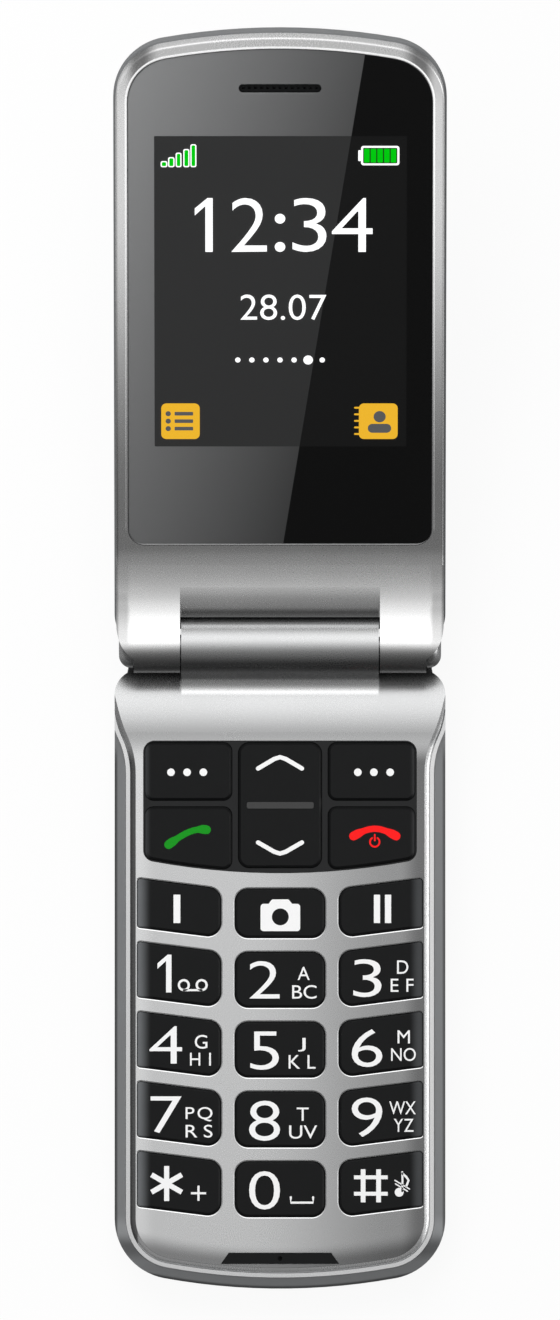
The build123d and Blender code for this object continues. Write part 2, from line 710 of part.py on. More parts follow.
def number_pad():
    """Name and outline function of each key below the cluster."""
    keys = {
        "key_memory_1": lambda grow: side_key_face(-1, MEMORY_START, MEMORY_HEIGHT, grow),
        "key_camera": lambda grow: centre_key_face(MEMORY_START, MEMORY_HEIGHT, grow),
        "key_memory_2": lambda grow: side_key_face(1, MEMORY_START, MEMORY_HEIGHT, grow),
    }
    rows = (("1", "2", "3"), ("4", "5", "6"), ("7", "8", "9"), ("star", "0", "hash"))
    for row, names in enumerate(rows):
        start = NUMBER_START + row * KEY_PITCH
        for side, name in zip((-1, 0, 1), names):
            if side:
                keys[f"key_{name}"] = lambda grow, s=start, e=side: side_key_face(e, s, KEY_HEIGHT, grow)
            else:
                keys[f"key_{name}"] = lambda grow, s=start: centre_key_face(s, KEY_HEIGHT, grow)
    return keys


def cluster_keys():
    """Name and outline function of each key of the upper cluster that is pressed straight in."""
    return {
        "left_soft_key": lambda grow: soft_key_face(-1, grow),
        "right_soft_key": lambda grow: soft_key_face(1, grow),
        "call_key": lambda grow: call_key_face(-1, grow),
        "end_key": lambda grow: call_key_face(1, grow),
    }


# ---- Keys ----
def key_solid(outline, flange_top=FLANGE_TOP):
    """Key cap with bevelled edges and a flange that holds it under the plate."""
    bottom = flange_top - FLANGE_THICKNESS
    cap = prism(outline(0), bottom, KEY_TOP)
    cap = chamfer(edges_at(cap, KEY_TOP), KEY_BEVEL)
    flange = prism(outline(FLANGE + KEY_GAP), bottom, flange_top)
    return cap + (flange & prism(cut_outline(BASE, SHELF_INSET + KEY_GAP, CAVITY_START), 0, TALL))


def side_rolls():
    """Wedges above the outer ends of the outer columns' keys, which slope gently down there."""
    outer = SIDE_COLUMN_X + SIDE_KEY_WIDTH
    start = outer - SIDE_ROLL_WIDTH
    end = outer + OVERRUN
    low = KEY_TOP - SIDE_ROLL_DROP * (end - start) / SIDE_ROLL_WIDTH
    wedges = []
    for side in (-1, 1):
        corners = [BASE.place(side * x, BASE_REACH, z - HINGE_Z).position
                   for x, z in ((start, KEY_TOP), (end, KEY_TOP), (end, low))]
        wedges.append(extrude(make_face(Polyline(*corners, close=True)), amount=BASE_REACH, dir=(0, 1, 0)))
    return wedges[0] + wedges[1]


def number_key(outline):
    """Key of the number block: the wedges reach only the outer columns."""
    return key_solid(outline) - side_rolls()


def nav_rocker():
    """Up and down rocker, with its flange low enough to let it tilt."""
    return key_solid(rocker_face, ROCKER_FLANGE_TOP)


# ---- Base shells ----
def base_slabs():
    """Space that the base's side profiles enclose."""
    return three_slabs(BASE, base_side_profile(), base_centre_profile(), BARREL_HALF_LENGTH)


def base_screw_places():
    """Places of the screws that hold the base together."""
    return [(side * BASE_SCREW_X, v) for v in BASE_SCREW_ENDS for side in (-1, 1)]


def base_front_housing():
    """Keypad face with its key openings, the shoulders and the hinge barrel."""
    plate = prism(panel_outline(), SPLIT_Z, FACE_Z)
    plate = chamfer(edges_at(plate, FACE_Z), PANEL_SLOPE_WIDTH, PANEL_SLOPE_DROP)
    barrel_zone = block(BASE, -BARREL_HALF_LENGTH, BARREL_HALF_LENGTH, PAST_HINGE, FLARE_END, SPLIT_Z, TALL)
    barrel_zone += block(BASE, -BARREL_HALF_LENGTH, BARREL_HALF_LENGTH, PAST_HINGE, BASE_END, 0, TALL)
    housing = (plate + barrel_zone) & base_slabs() & prism(full_outline(BASE), 0, TALL)
    housing -= prism(cut_outline(BASE, SHELF_INSET, CAVITY_START), 0, PLATE_BOTTOM)
    for outline in number_pad().values():
        housing -= prism(outline(KEY_GAP), 0, TALL)
    housing -= prism(cluster_face(SHELL_GAP), 0, TALL)
    housing -= prism(mic_face(SHELL_GAP), FACE_Z - MIC_DEPTH, TALL)
    housing -= post(BASE, 0, MIC_V, MIC_HOLE_RADIUS + KEY_GAP, 0, TALL)
    for x, v in base_screw_places():
        if v > CAVITY_START:
            housing += post(BASE, x, v, BOSS_RADIUS, SPLIT_Z, PLATE_BOTTOM)
        housing -= post(BASE, x, v, SCREW_RADIUS + SEAT_FIT, 0, PLATE_BOTTOM)
    return housing - hinge_bores()


def hinge_bores():
    """Bores in the barrel for the cartridge, the bush and the flex, and the flex's way out."""
    end = BARREL_HALF_LENGTH + OVERRUN
    left = rod(CARTRIDGE_RADIUS + SEAT_FIT, -end, -BARREL_HALF_LENGTH + CARTRIDGE_LENGTH)
    right = rod(BUSH_RADIUS + SEAT_FIT, FLEX_ROLL_START - SHELL_GAP, end)
    slot = block(BASE, FLEX_START - FLEX_GAP, FLEX_START + FLEX_WIDTH + FLEX_GAP,
                 0, CAVITY_START + OVERRUN, FLEX_BOTTOM - FLEX_GAP, FLEX_BOTTOM + FLEX_THICKNESS + FLEX_GAP)
    return left + right + slot


def mic_face(grow=0.0):
    """Trapezium of the microphone insert at the end of the keypad face."""
    top = (MIC_TOP_WIDTH / 2 + grow, MIC_START - grow)
    bottom = (MIC_BOTTOM_WIDTH / 2 + grow, MIC_START + MIC_LENGTH + grow)
    corners = [BASE.plan(*point) for point in (top, bottom, (-bottom[0], bottom[1]), (-top[0], top[1]))]
    return make_face(Polyline(*corners, close=True))


def base_rear_housing():
    """Back tray: the outer band, the battery bay and the compartments at both ends."""
    tray = prism(full_outline(BASE), 0, FACE_Z - RIM_BELOW_FACE)
    tray = chamfer(edges_at(tray, FACE_Z - RIM_BELOW_FACE), BAND_BEVEL)
    tray = fillet(edges_at(tray, 0), BACK_EDGE_RADIUS)
    tray &= base_slabs()
    tray -= prism(panel_outline(TRIM_WIDTH), SPLIT_Z, TALL)
    tray -= block(BASE, -WIDTH, WIDTH, PAST_HINGE, BASE_END + SHELL_GAP, 0, TALL)
    tray -= prism(cut_outline(BASE, SHELF_INSET, CAVITY_START), WEB_TOP, TALL)
    tray -= prism(cut_outline(BASE, COVER_INSET, COVER_START), -OVERRUN, COVER_DEPTH)
    compartments = prism(cut_outline(BASE, SIDE_WALL, CAVITY_START), FLOOR_TOP, SPLIT_Z - SHELF_THICKNESS)
    compartments += prism(cut_outline(BASE, SHELF_INSET, CAVITY_START), FLOOR_TOP, WEB_TOP)
    tray -= compartments - bay_block(BAY_WALL, 0, TALL)
    tray -= bay_block(0, -OVERRUN, WEB_BOTTOM)
    tray -= connector_block(SHELL_GAP)
    for x, v in base_screw_places():
        tray += post(BASE, x, v, BOSS_RADIUS, COVER_DEPTH, SPLIT_Z if v < CAVITY_START else WEB_TOP)
        tray -= post(BASE, x, v, SCREW_RADIUS + SCREW_GAP, 0, TALL)
        tray -= post(BASE, x, v, SCREW_HEAD_RADIUS + SCREW_GAP, 0, COVER_DEPTH + SCREW_HEAD_HEIGHT)
    tray -= usb_shell_block(SHELL_GAP, USB_RECESS + OVERRUN)
    tray -= speaker_slots(COVER_DEPTH - OVERRUN, FLOOR_TOP + OVERRUN)
    tray -= volume_block(VOLUME_GAP, -HALF_WIDTH - OVERRUN, -HALF_WIDTH + VOLUME_CAP + OVERRUN)
    return tray - volume_flange_pocket()


def bay_block(grow, z0, z1):
    """Space of the battery bay between two heights."""
    half_width = BAY_HALF_WIDTH + grow
    return block(BASE, -half_width, half_width, BAY_START - grow, BAY_END + grow, z0, z1)


def volume_block(grow, x0, x1):
    """Block through the side wall at the volume rocker."""
    half_height = VOLUME_HEIGHT / 2 + grow
    return block(BASE, x0, x1, VOLUME_START - grow, VOLUME_START + VOLUME_LENGTH + grow,
                 VOLUME_ABOVE_BACK - half_height, VOLUME_ABOVE_BACK + half_height)


def volume_flange_pocket():
    """Room behind the side wall for the volume rocker's flange."""
    outer = -HALF_WIDTH + VOLUME_CAP
    return volume_block(FLANGE + VOLUME_GAP + KEY_GAP, outer, outer + VOLUME_FLANGE + 3 * VOLUME_FLANGE_GAP)


def volume_rocker():
    """Two-way key in the left side wall, flush with it."""
    outer = -HALF_WIDTH
    cap = volume_block(0, outer, outer + VOLUME_CAP + VOLUME_FLANGE_GAP)
    cap = chamfer(edges_at(cap, outer, Axis.X), VOLUME_GAP)
    start = outer + VOLUME_CAP + VOLUME_FLANGE_GAP
    return cap + volume_block(FLANGE, start, start + VOLUME_FLANGE)


def base_trim():
    """Bright strip between the keypad face and the outer band."""
    top = FACE_Z - TRIM_BELOW_FACE
    ring = prism(panel_outline(TRIM_WIDTH - SHELL_GAP), SPLIT_Z, top)
    ring -= prism(panel_outline(SHELL_GAP), 0, TALL)
    ring &= prism(full_outline(BASE), 0, TALL) & base_slabs()
    ring -= block(BASE, -WIDTH, WIDTH, -WIDTH, FLARE_END + TRIM_WIDTH, 0, TALL)
    return ring


def nav_panel():
    """Black panel with the openings of the cluster's keys."""
    top = FACE_Z - CLUSTER_DROP
    panel = prism(cluster_face(), PLATE_BOTTOM, top)
    for outline in cluster_keys().values():
        panel -= prism(outline(KEY_GAP), 0, TALL)
    return panel - prism(rocker_face(KEY_GAP), 0, TALL)


# ---- Base contents ----
def layer(start, bottom, top):
    """Sheet that fills the space under the keypad face from v = start, clear of the screw bosses."""
    sheet = prism(cut_outline(BASE, SHELF_INSET + BOARD_GAP, start), bottom, top)
    for x, v in base_screw_places():
        if v > start:
            sheet -= post(BASE, x, v, BOSS_RADIUS + BOARD_GAP, bottom - OVERRUN, top + OVERRUN)
    return sheet


def dome_posts(radius, top):
    """Short cylinders on the dome sheet under every key and under both ends of the rocker."""
    outlines = {**number_pad(), **cluster_keys()}
    places = [outline(0).center() for outline in outlines.values()]
    places += [Vector(*BASE.plan(0, ROCKER_V + end * ROCKER_DOME_REACH)) for end in (-1, 1)]
    dome = Cylinder(radius, top - DOME_SHEET_TOP, align=(Align.CENTER, Align.CENTER, Align.MIN))
    return [Pos(place.X, place.Y, DOME_SHEET_TOP) * dome for place in places]


def dome_sheet():
    """Film with a low spring dome at each place that is pressed."""
    sheet = layer(SHEETS_START, BOARD_TOP, DOME_SHEET_TOP) - microphone_space()
    for dome in dome_posts(DOME_RADIUS, DOME_SHEET_TOP + DOME_HEIGHT):
        sheet += chamfer(edges_at(dome, DOME_SHEET_TOP + DOME_HEIGHT), DOME_HEIGHT / 2, DOME_RADIUS / 2)
    return sheet


def keypad_mat():
    """Silicone sheet between the domes and the keys."""
    mat = layer(SHEETS_START, DOME_SHEET_TOP, MAT_TOP) - microphone_space()
    for pocket in dome_posts(DOME_RADIUS + DOME_GAP, DOME_SHEET_TOP + DOME_HEIGHT + SHELL_GAP):
        mat -= pocket
    return mat


def microphone_space():
    """Room for the microphone can in the sheets on the board."""
    return post(BASE, 0, MIC_V, MIC_CAN_RADIUS + BOARD_GAP, 0, TALL)


def main_board():
    """Printed circuit board that carries the electronics of the base."""
    return layer(CAVITY_START + BOARD_GAP, WEB_TOP, BOARD_TOP)


def battery():
    """Removable battery pack with rounded long edges."""
    pack = block(BASE, -BATTERY_WIDTH / 2, BATTERY_WIDTH / 2, BATTERY_START, BATTERY_START + BATTERY_LENGTH,
                 BATTERY_BOTTOM, BATTERY_BOTTOM + BATTERY_THICKNESS)
    return fillet(pack.edges().filter_by(Axis.Z), BATTERY_EDGE)


def connector_block(grow=0.0):
    """Space of the battery connector."""
    half_width = CONNECTOR_WIDTH / 2 + grow
    end = BAY_START + grow
    start = end - CONNECTOR_DEPTH - 2 * grow
    return block(BASE, -half_width, half_width, start, end, FLOOR_TOP, WEB_TOP)


def battery_connector():
    """Battery connector with its sprung contacts."""
    body = connector_block()
    for index in range(CONTACT_COUNT):
        x0 = (index - CONTACT_COUNT / 2) * CONNECTOR_WIDTH / CONTACT_COUNT + CONTACT_WIDTH
        body += block(BASE, x0, x0 + CONTACT_WIDTH, BAY_START - CONTACT_WIDTH, BATTERY_START,
                      FLOOR_TOP + CONTACT_WIDTH, WEB_BOTTOM - CONTACT_WIDTH)
    return body


def battery_cover():
    """Cover over the whole back, with the loudspeaker's slots and a fingernail notch."""
    cover = prism(cut_outline(BASE, COVER_INSET + COVER_GAP, COVER_START + COVER_GAP), 0, COVER_THICKNESS)
    cover -= speaker_slots(-OVERRUN, COVER_THICKNESS + OVERRUN)
    notch_v = BASE_REACH - COVER_INSET - COVER_GAP
    return cover - post(BASE, 0, notch_v, NOTCH_RADIUS, -OVERRUN, COVER_THICKNESS / 2)


def speaker_slots(z0, z1):
    """Row of slots under the loudspeaker."""
    centre_v = SPEAKER_START + SPEAKER_LENGTH / 2
    first = -(GRILLE_SLOTS - 1) / 2
    slots = Part()
    for index in range(GRILLE_SLOTS):
        x = SPEAKER_X + (first + index) * GRILLE_PITCH
        slot = Pos(x, HINGE_Y - centre_v) * SlotOverall(GRILLE_SLOT_LENGTH, GRILLE_SLOT_WIDTH, rotation=90)
        slots += prism(slot, z0, z1)
    return slots


def loudspeaker():
    """Loudspeaker on the floor of the upper compartment."""
    body = block(BASE, SPEAKER_X - SPEAKER_WIDTH / 2, SPEAKER_X + SPEAKER_WIDTH / 2, SPEAKER_START,
                 SPEAKER_START + SPEAKER_LENGTH, FLOOR_TOP, FLOOR_TOP + SPEAKER_HEIGHT)
    return fillet(body.edges().filter_by(Axis.Z), BOSS_RADIUS)


def sim_holder():
    """Metal holder for the SIM card under the board."""
    half_width = SIM_WIDTH / 2
    end = SIM_START + SIM_LENGTH
    bottom = WEB_TOP - SIM_HEIGHT
    body = block(BASE, SIM_X - half_width, SIM_X + half_width, SIM_START, end, bottom, WEB_TOP)
    slot = block(BASE, SIM_X - half_width + SHEET_METAL, SIM_X + half_width - SHEET_METAL,
                 SIM_START + SHEET_METAL, end + OVERRUN, bottom + SHEET_METAL, WEB_TOP - SHEET_METAL)
    return body - slot


def vibration_motor():
    """Vibration motor with its off-centre weight, lying under the board."""
    z = WEB_TOP - MOTOR_RADIUS
    lying = Rot(0, 90, 0)
    can = BASE.place(MOTOR_X, MOTOR_V, z - HINGE_Z) * lying * Cylinder(MOTOR_RADIUS, MOTOR_LENGTH)
    weight_x = MOTOR_X + MOTOR_LENGTH / 2 + WEIGHT_LENGTH / 2
    weight = lying * extrude(Circle(MOTOR_RADIUS - BOARD_GAP) & Pos(MOTOR_RADIUS / 2, 0)
                             * Rectangle(MOTOR_RADIUS, 2 * MOTOR_RADIUS), WEIGHT_LENGTH / 2, both=True)
    return can + BASE.place(weight_x, MOTOR_V, z - HINGE_Z) * weight


def antenna():
    """Antenna carrier at the keypad end, under the board."""
    return block(BASE, ANTENNA_SIDE_INSET - HALF_WIDTH, -ANTENNA_INNER_X, LOWER_ROOM_START,
                 LOWER_ROOM_START + ANTENNA_LENGTH, WEB_TOP - ANTENNA_HEIGHT, WEB_TOP)


def usb_shell_block(grow=0.0, extra=0.0):
    """Space of the charging socket's shell at the keypad end."""
    half_width = USB_WIDTH / 2 + grow
    end = BASE_REACH - USB_RECESS
    return block(BASE, -half_width, half_width, end - USB_DEPTH - grow, end + extra,
                 WEB_TOP - USB_HEIGHT - grow, WEB_TOP)


def usb_socket():
    """Micro-USB socket: a metal shell with a tongue."""
    end = BASE_REACH - USB_RECESS
    start = end - USB_DEPTH
    middle = WEB_TOP - USB_HEIGHT / 2
    half_mouth = USB_WIDTH / 2 - USB_WALL
    mouth = block(BASE, -half_mouth, half_mouth, start + USB_BACK, end + OVERRUN,
                  WEB_TOP - USB_HEIGHT + USB_WALL, WEB_TOP - USB_WALL)
    half_tongue = USB_TONGUE_WIDTH / 2
    tongue = block(BASE, -half_tongue, half_tongue, start + USB_WALL, end - USB_TONGUE_DROP,
                   middle - USB_WALL, middle + USB_WALL)
    return usb_shell_block() - mouth + tongue


def microphone():
    """Microphone can on the board behind the insert's sound hole."""
    return post(BASE, 0, MIC_V, MIC_CAN_RADIUS, BOARD_TOP, BOARD_TOP + MIC_CAN_HEIGHT)


def mic_insert():
    """Black insert with the microphone's sound hole."""
    insert = prism(mic_face(), FACE_Z - MIC_DEPTH, FACE_Z - SHELL_GAP)
    return insert - post(BASE, 0, MIC_V, MIC_HOLE_RADIUS, 0, TALL)


def board_shields():
    """Metal cans under the board, one beside the SIM holder and one at the keypad end."""
    bottom = WEB_TOP - SHIELD_HEIGHT
    left = (SPEAKER_X + SPEAKER_WIDTH / 2 + SIM_X - SIM_WIDTH / 2 - UPPER_SHIELD_WIDTH) / 2
    upper = block(BASE, left, left + UPPER_SHIELD_WIDTH, SIM_START, SIM_START + UPPER_SHIELD_LENGTH,
                  bottom, WEB_TOP)
    lower = block(BASE, LOWER_SHIELD_INNER_X, HALF_WIDTH - LOWER_SHIELD_SIDE_INSET, LOWER_ROOM_START,
                  LOWER_ROOM_START + LOWER_SHIELD_LENGTH, bottom, WEB_TOP)
    return [upper, lower]


def base_screws():
    """Four screws that hold the two base housings together."""
    screws = []
    for x, v in base_screw_places():
        head = post(BASE, x, v, SCREW_HEAD_RADIUS, COVER_DEPTH, COVER_DEPTH + SCREW_HEAD_HEIGHT)
        slot = block(BASE, x - SCREW_RADIUS, x + SCREW_RADIUS, v - SCREW_GAP, v + SCREW_GAP,
                     0, COVER_DEPTH + SCREW_HEAD_HEIGHT / 2)
        shank = post(BASE, x, v, SCREW_RADIUS, COVER_DEPTH + SCREW_HEAD_HEIGHT, PLATE_BOTTOM - SCREW_GAP)
        screws.append(head - slot + shank)
    return screws


# ---- Hinge ----
def hinge_cartridge():
    """Sleeve of the hinge unit in the barrel's left bore, closed at its inner end."""
    left = -BARREL_HALF_LENGTH
    sleeve = rod(CARTRIDGE_RADIUS, left, left + CARTRIDGE_LENGTH)
    return sleeve - rod(CAM_RADIUS + RUNNING_FIT, left - OVERRUN, left + CARTRIDGE_LENGTH - CARTRIDGE_END)


def hinge_cam():
    """Turning part of the hinge unit: a drum in the sleeve and a flatted tip in the lid's knuckle."""
    drum = rod(CAM_RADIUS, -KNUCKLE_START, -BARREL_HALF_LENGTH + CAM_LENGTH)
    return drum + flatted_tip(0.0, -KNUCKLE_START)


def flatted_tip(grow, inner):
    """Cylinder with two flats along the hinge axis, from x = inner outwards."""
    length = TIP_LENGTH + grow
    tip = Pos(inner - length / 2, HINGE_Y, HINGE_Z) * Rot(0, 90, 0) * Cylinder(CAM_RADIUS + grow, length)
    flats = Pos(inner - length / 2, HINGE_Y, HINGE_Z) * Box(length, 3 * CAM_RADIUS, TIP_FLATS + 2 * grow)
    return tip & flats


def hinge_spring():
    """Compression spring behind the cam."""
    start = -BARREL_HALF_LENGTH + CAM_LENGTH + SPRING_WIRE
    length = CARTRIDGE_LENGTH - CAM_LENGTH - CARTRIDGE_END - 2 * SPRING_WIRE
    pitch = (length - SPRING_WIRE) / SPRING_TURNS
    coil = Helix(pitch, SPRING_TURNS * pitch, SPRING_RADIUS)
    wire = Plane(coil @ 0, z_dir=coil % 0) * Circle(SPRING_WIRE / 2)
    spring = sweep(wire, path=coil)
    return Pos(start, HINGE_Y, HINGE_Z) * Rot(0, 90, 0) * spring


def hinge_bush():
    """Plain bearing for the pin in the barrel's right bore."""
    end = BARREL_HALF_LENGTH
    bush = rod(BUSH_RADIUS, end - BUSH_LENGTH, end)
    return bush - rod(PIN_RADIUS + RUNNING_FIT, end - BUSH_LENGTH - OVERRUN, end + OVERRUN)


def hinge_pin():
    """Hollow pin fixed in the lid's right knuckle, through which the flex passes."""
    start = BARREL_HALF_LENGTH - BUSH_LENGTH
    pin = rod(PIN_RADIUS, start, start + PIN_LENGTH)
    return pin - rod(PIN_BORE, start - OVERRUN, start + PIN_LENGTH + OVERRUN)


def display_flex():
    """Flexible circuit: a roll in the barrel and a tail to the board."""
    end = BARREL_HALF_LENGTH - BUSH_LENGTH - BOARD_GAP
    roll = rod(FLEX_ROLL_RADIUS, FLEX_ROLL_START, end)
    roll -= rod(FLEX_ROLL_RADIUS - 2 * FLEX_THICKNESS, FLEX_ROLL_START - OVERRUN, end + OVERRUN)
    end_v = CAVITY_START + FLEX_DROP
    top = FLEX_BOTTOM + FLEX_THICKNESS
    tail = block(BASE, FLEX_START, FLEX_START + FLEX_WIDTH, 0, end_v, FLEX_BOTTOM, top)
    drop = block(BASE, FLEX_START, FLEX_START + FLEX_WIDTH, end_v - FLEX_THICKNESS, end_v, BOARD_TOP, top)
    return roll + tail + drop


def hinge_end_caps():
    """Domed covers on the outer ends of the knuckles."""
    caps = []
    for side in (-1, 1):
        inner = side * (HALF_WIDTH - CAP_INSET)
        outer = inner + side * CAP_THICKNESS
        cap = rod(CAP_RADIUS, min(inner, outer), max(inner, outer))
        caps.append(fillet(edges_at(cap, outer, Axis.X), CAP_EDGE))
    return caps


# ---- Lid shells ----
def lid_slabs():
    """Space that the lid's side profiles enclose."""
    return three_slabs(LID, lid_side_profile(), lid_centre_profile(), KNUCKLE_START)


def knuckle_bores():
    """Sockets of the cam's tip and of the pin."""
    pin_end = BARREL_HALF_LENGTH - BUSH_LENGTH + PIN_LENGTH
    return flatted_tip(SEAT_FIT, -KNUCKLE_START) + rod(PIN_RADIUS + SEAT_FIT, BARREL_HALF_LENGTH, pin_end)


def cap_seats():
    """Seats of the end caps in the knuckles' outer ends."""
    inner = HALF_WIDTH - CAP_INSET
    outer = HALF_WIDTH + OVERRUN
    return rod(CAP_RADIUS + SEAT_FIT, -outer, -inner) + rod(CAP_RADIUS + SEAT_FIT, inner, outer)


def window_face(grow=0.0):
    """Outline of the display window."""
    face = cut_outline(LID, WINDOW_INSET - grow, WINDOW_START - grow)
    start_y = LID.plan(0, WINDOW_START - grow)[1]
    corners = [corner for corner in face.vertices() if abs(corner.Y - start_y) < SEAT_FIT]
    return fillet(corners, WINDOW_CORNER + grow)


def display_block(grow=0.0, bottom=None, top=None):
    """Space of the main display."""
    return lid_block(DISPLAY_WIDTH + 2 * grow, DISPLAY_START - grow, DISPLAY_END + grow,
                     DISPLAY_BOTTOM if bottom is None else bottom, WINDOW_BOTTOM if top is None else top)


def earpiece_block(grow=0.0, bottom=None):
    """Space of the earpiece speaker."""
    return lid_block(EARPIECE_WIDTH + 2 * grow, EARPIECE_V - EARPIECE_LENGTH / 2 - grow,
                     EARPIECE_V + EARPIECE_LENGTH / 2 + grow,
                     WINDOW_BOTTOM - EARPIECE_HEIGHT if bottom is None else bottom, WINDOW_BOTTOM)


def lid_screw_places():
    """Places of the lid's screws, under the edge of the display window."""
    return [(side * LID_SCREW_X, v) for v in LID_SCREW_ENDS for side in (-1, 1)]


def lid_inner_housing():
    """Silver frame round the window, with the ramp and the two knuckles."""
    frame = lid_prism(full_outline(LID, LID_LEDGE), -LID_SPLIT, -FACE_DROP)
    frame = fillet(edges_at(frame, HINGE_Z - FACE_DROP), LID_RIM_EDGE)
    hinge_zone = block(LID, -HALF_WIDTH, HALF_WIDTH, PAST_HINGE, RAMP_START, HINGE_Z - LID_SPLIT, TALL)
    hinge_zone += block(LID, -HALF_WIDTH, HALF_WIDTH, PAST_HINGE, LID_END, 0, TALL)
    frame += hinge_zone & lid_prism(full_outline(LID, LID_LEDGE), -LID_DEPTH, -PAST_HINGE)
    frame &= lid_slabs()
    frame -= lid_prism(window_face(WINDOW_GAP), WINDOW_BOTTOM, 0)
    frame -= display_block(DISPLAY_GAP, -LID_DEPTH, 0)
    frame -= earpiece_block(SHELL_GAP, -LID_DEPTH)
    for x, v in lid_screw_places():
        frame -= lid_post(x, v, SCREW_RADIUS + SCREW_GAP, -LID_DEPTH, 0)
        frame -= lid_post(x, v, SCREW_HEAD_RADIUS + SCREW_GAP, WINDOW_BOTTOM - SCREW_HEAD_HEIGHT, 0)
    return frame - knuckle_bores() - cap_seats()


def lid_outer_housing():
    """Outer shell of the lid, with the openings of the outer window and the camera."""
    shell = lid_prism(full_outline(LID), -LID_DEPTH, -LID_SPLIT - SHELL_GAP)
    shell = fillet(edges_at(shell, HINGE_Z - LID_DEPTH), LID_BACK_RADIUS)
    shell &= lid_slabs()
    shell -= block(LID, -WIDTH, WIDTH, PAST_HINGE, LID_END + SHELL_GAP, 0, TALL)
    cavity = lid_prism(cut_outline(LID, LID_WALL, LID_CAVITY_START), LID_CAVITY_BOTTOM, 0)
    shell -= fillet(edges_at(cavity, HINGE_Z + LID_CAVITY_BOTTOM), LID_BACK_RADIUS - LID_BACK_WALL)
    shell -= cap_seats()
    for x, v in lid_screw_places():
        shell += lid_post(x, v, LID_BOSS_RADIUS, LID_CAVITY_BOTTOM - SHELL_GAP, -LID_SPLIT - SHELL_GAP)
        shell -= lid_post(x, v, SCREW_RADIUS + SEAT_FIT, LID_SCREW_BOTTOM, 0)
    shell -= lid_prism(outer_window_face(SHELL_GAP), -LID_DEPTH - OVERRUN, OUTER_WINDOW_TOP + SHELL_GAP)
    display = lid_prism(outer_window_face(-OUTER_DISPLAY_MARGIN + SHELL_GAP), -LID_DEPTH, 0)
    shell -= display & lid_block(WIDTH, 0, LID_REACH, -LID_DEPTH, -LID_SPLIT)
    shell -= lid_post(0, CAMERA_V, CAMERA_WINDOW_RADIUS + SHELL_GAP, -LID_DEPTH - OVERRUN,
                      OUTER_WINDOW_TOP + SHELL_GAP)
    return shell - lid_post(0, CAMERA_V, CAMERA_BARREL_RADIUS + DISPLAY_GAP, -LID_DEPTH, -LID_SPLIT)


def outer_window_face(grow=0.0):
    """Outline of the small window on the lid's outer face."""
    face = RectangleRounded(OUTER_WINDOW_WIDTH + 2 * grow, OUTER_WINDOW_LENGTH + 2 * grow,
                            max(OUTER_WINDOW_RADIUS + grow, OUTER_DISPLAY_CORNER))
    return Pos(0, HINGE_Y + OUTER_WINDOW_V) * face


# ---- Lid contents ----
def display_window():
    """Glass over the display and the earpiece, with the earpiece's slot."""
    glass = lid_prism(window_face(), WINDOW_BOTTOM, WINDOW_TOP)
    return glass - lid_prism(earpiece_slot(), WINDOW_BOTTOM - OVERRUN, 0)


def earpiece_slot(grow=0.0):
    """Outline of the slot in front of the earpiece."""
    slot = SlotOverall(EARPIECE_SLOT_LENGTH + 2 * grow, EARPIECE_SLOT_WIDTH + 2 * grow)
    return Pos(0, HINGE_Y + EARPIECE_V) * slot


def earpiece_grille():
    """Pierced strip in the earpiece slot."""
    strip = lid_prism(earpiece_slot(-SEAT_FIT), WINDOW_BOTTOM, WINDOW_TOP - WINDOW_THICKNESS / 3)
    pitch = (EARPIECE_SLOT_LENGTH - EARPIECE_SLOT_WIDTH) / (GRILLE_HOLES - 1)
    for index in range(GRILLE_HOLES):
        x = (index - (GRILLE_HOLES - 1) / 2) * pitch
        strip -= lid_post(x, EARPIECE_V, GRILLE_HOLE_RADIUS, WINDOW_BOTTOM - OVERRUN, 0)
    return strip


def main_display():
    """Main display behind the window."""
    return display_block()


def earpiece_speaker():
    """Earpiece speaker behind its slot."""
    return fillet(earpiece_block().edges().filter_by(Axis.Z), EARPIECE_SLOT_WIDTH)


def lid_board():
    """Circuit board of the lid, behind the display."""
    return lid_block(LID_BOARD_WIDTH, LID_BOARD_START, LID_BOARD_END, LID_BOARD_BOTTOM, LID_BOARD_TOP)


def outer_display():
    """Small display behind the outer window."""
    face = outer_window_face(-OUTER_DISPLAY_MARGIN)
    return lid_prism(face, OUTER_WINDOW_TOP, OUTER_DISPLAY_TOP)


def outer_window():
    """Glass of the outer display, flush with the lid's outer face."""
    return lid_prism(outer_window_face(), -LID_DEPTH, OUTER_WINDOW_TOP)


def camera_module():
    """Camera: a square body on the lid's board and its lens barrel."""
    body_bottom = LID_BOARD_BOTTOM - CAMERA_BODY_HEIGHT
    body = lid_block(CAMERA_SIDE, CAMERA_V - CAMERA_SIDE / 2, CAMERA_V + CAMERA_SIDE / 2,
                     body_bottom, LID_BOARD_BOTTOM)
    return body + lid_post(0, CAMERA_V, CAMERA_BARREL_RADIUS, OUTER_WINDOW_TOP, body_bottom)


def camera_window():
    """Round glass over the camera."""
    return lid_post(0, CAMERA_V, CAMERA_WINDOW_RADIUS, -LID_DEPTH, OUTER_WINDOW_TOP)


def lid_screws():
    """Four screws under the edge of the window."""
    screws = []
    for x, v in lid_screw_places():
        head_bottom = WINDOW_BOTTOM - SCREW_HEAD_HEIGHT
        head = lid_post(x, v, SCREW_HEAD_RADIUS, head_bottom, WINDOW_BOTTOM - SHELL_GAP)
        screws.append(head + lid_post(x, v, SCREW_RADIUS, LID_SCREW_BOTTOM + SCREW_GAP, head_bottom))
    return screws


def lid_magnet():
    """Magnet that tells the phone when the lid is shut."""
    return lid_block(MAGNET_WIDTH, MAGNET_V, MAGNET_V + MAGNET_LENGTH,
                     -LID_SPLIT - MAGNET_HEIGHT, -LID_SPLIT, MAGNET_X)


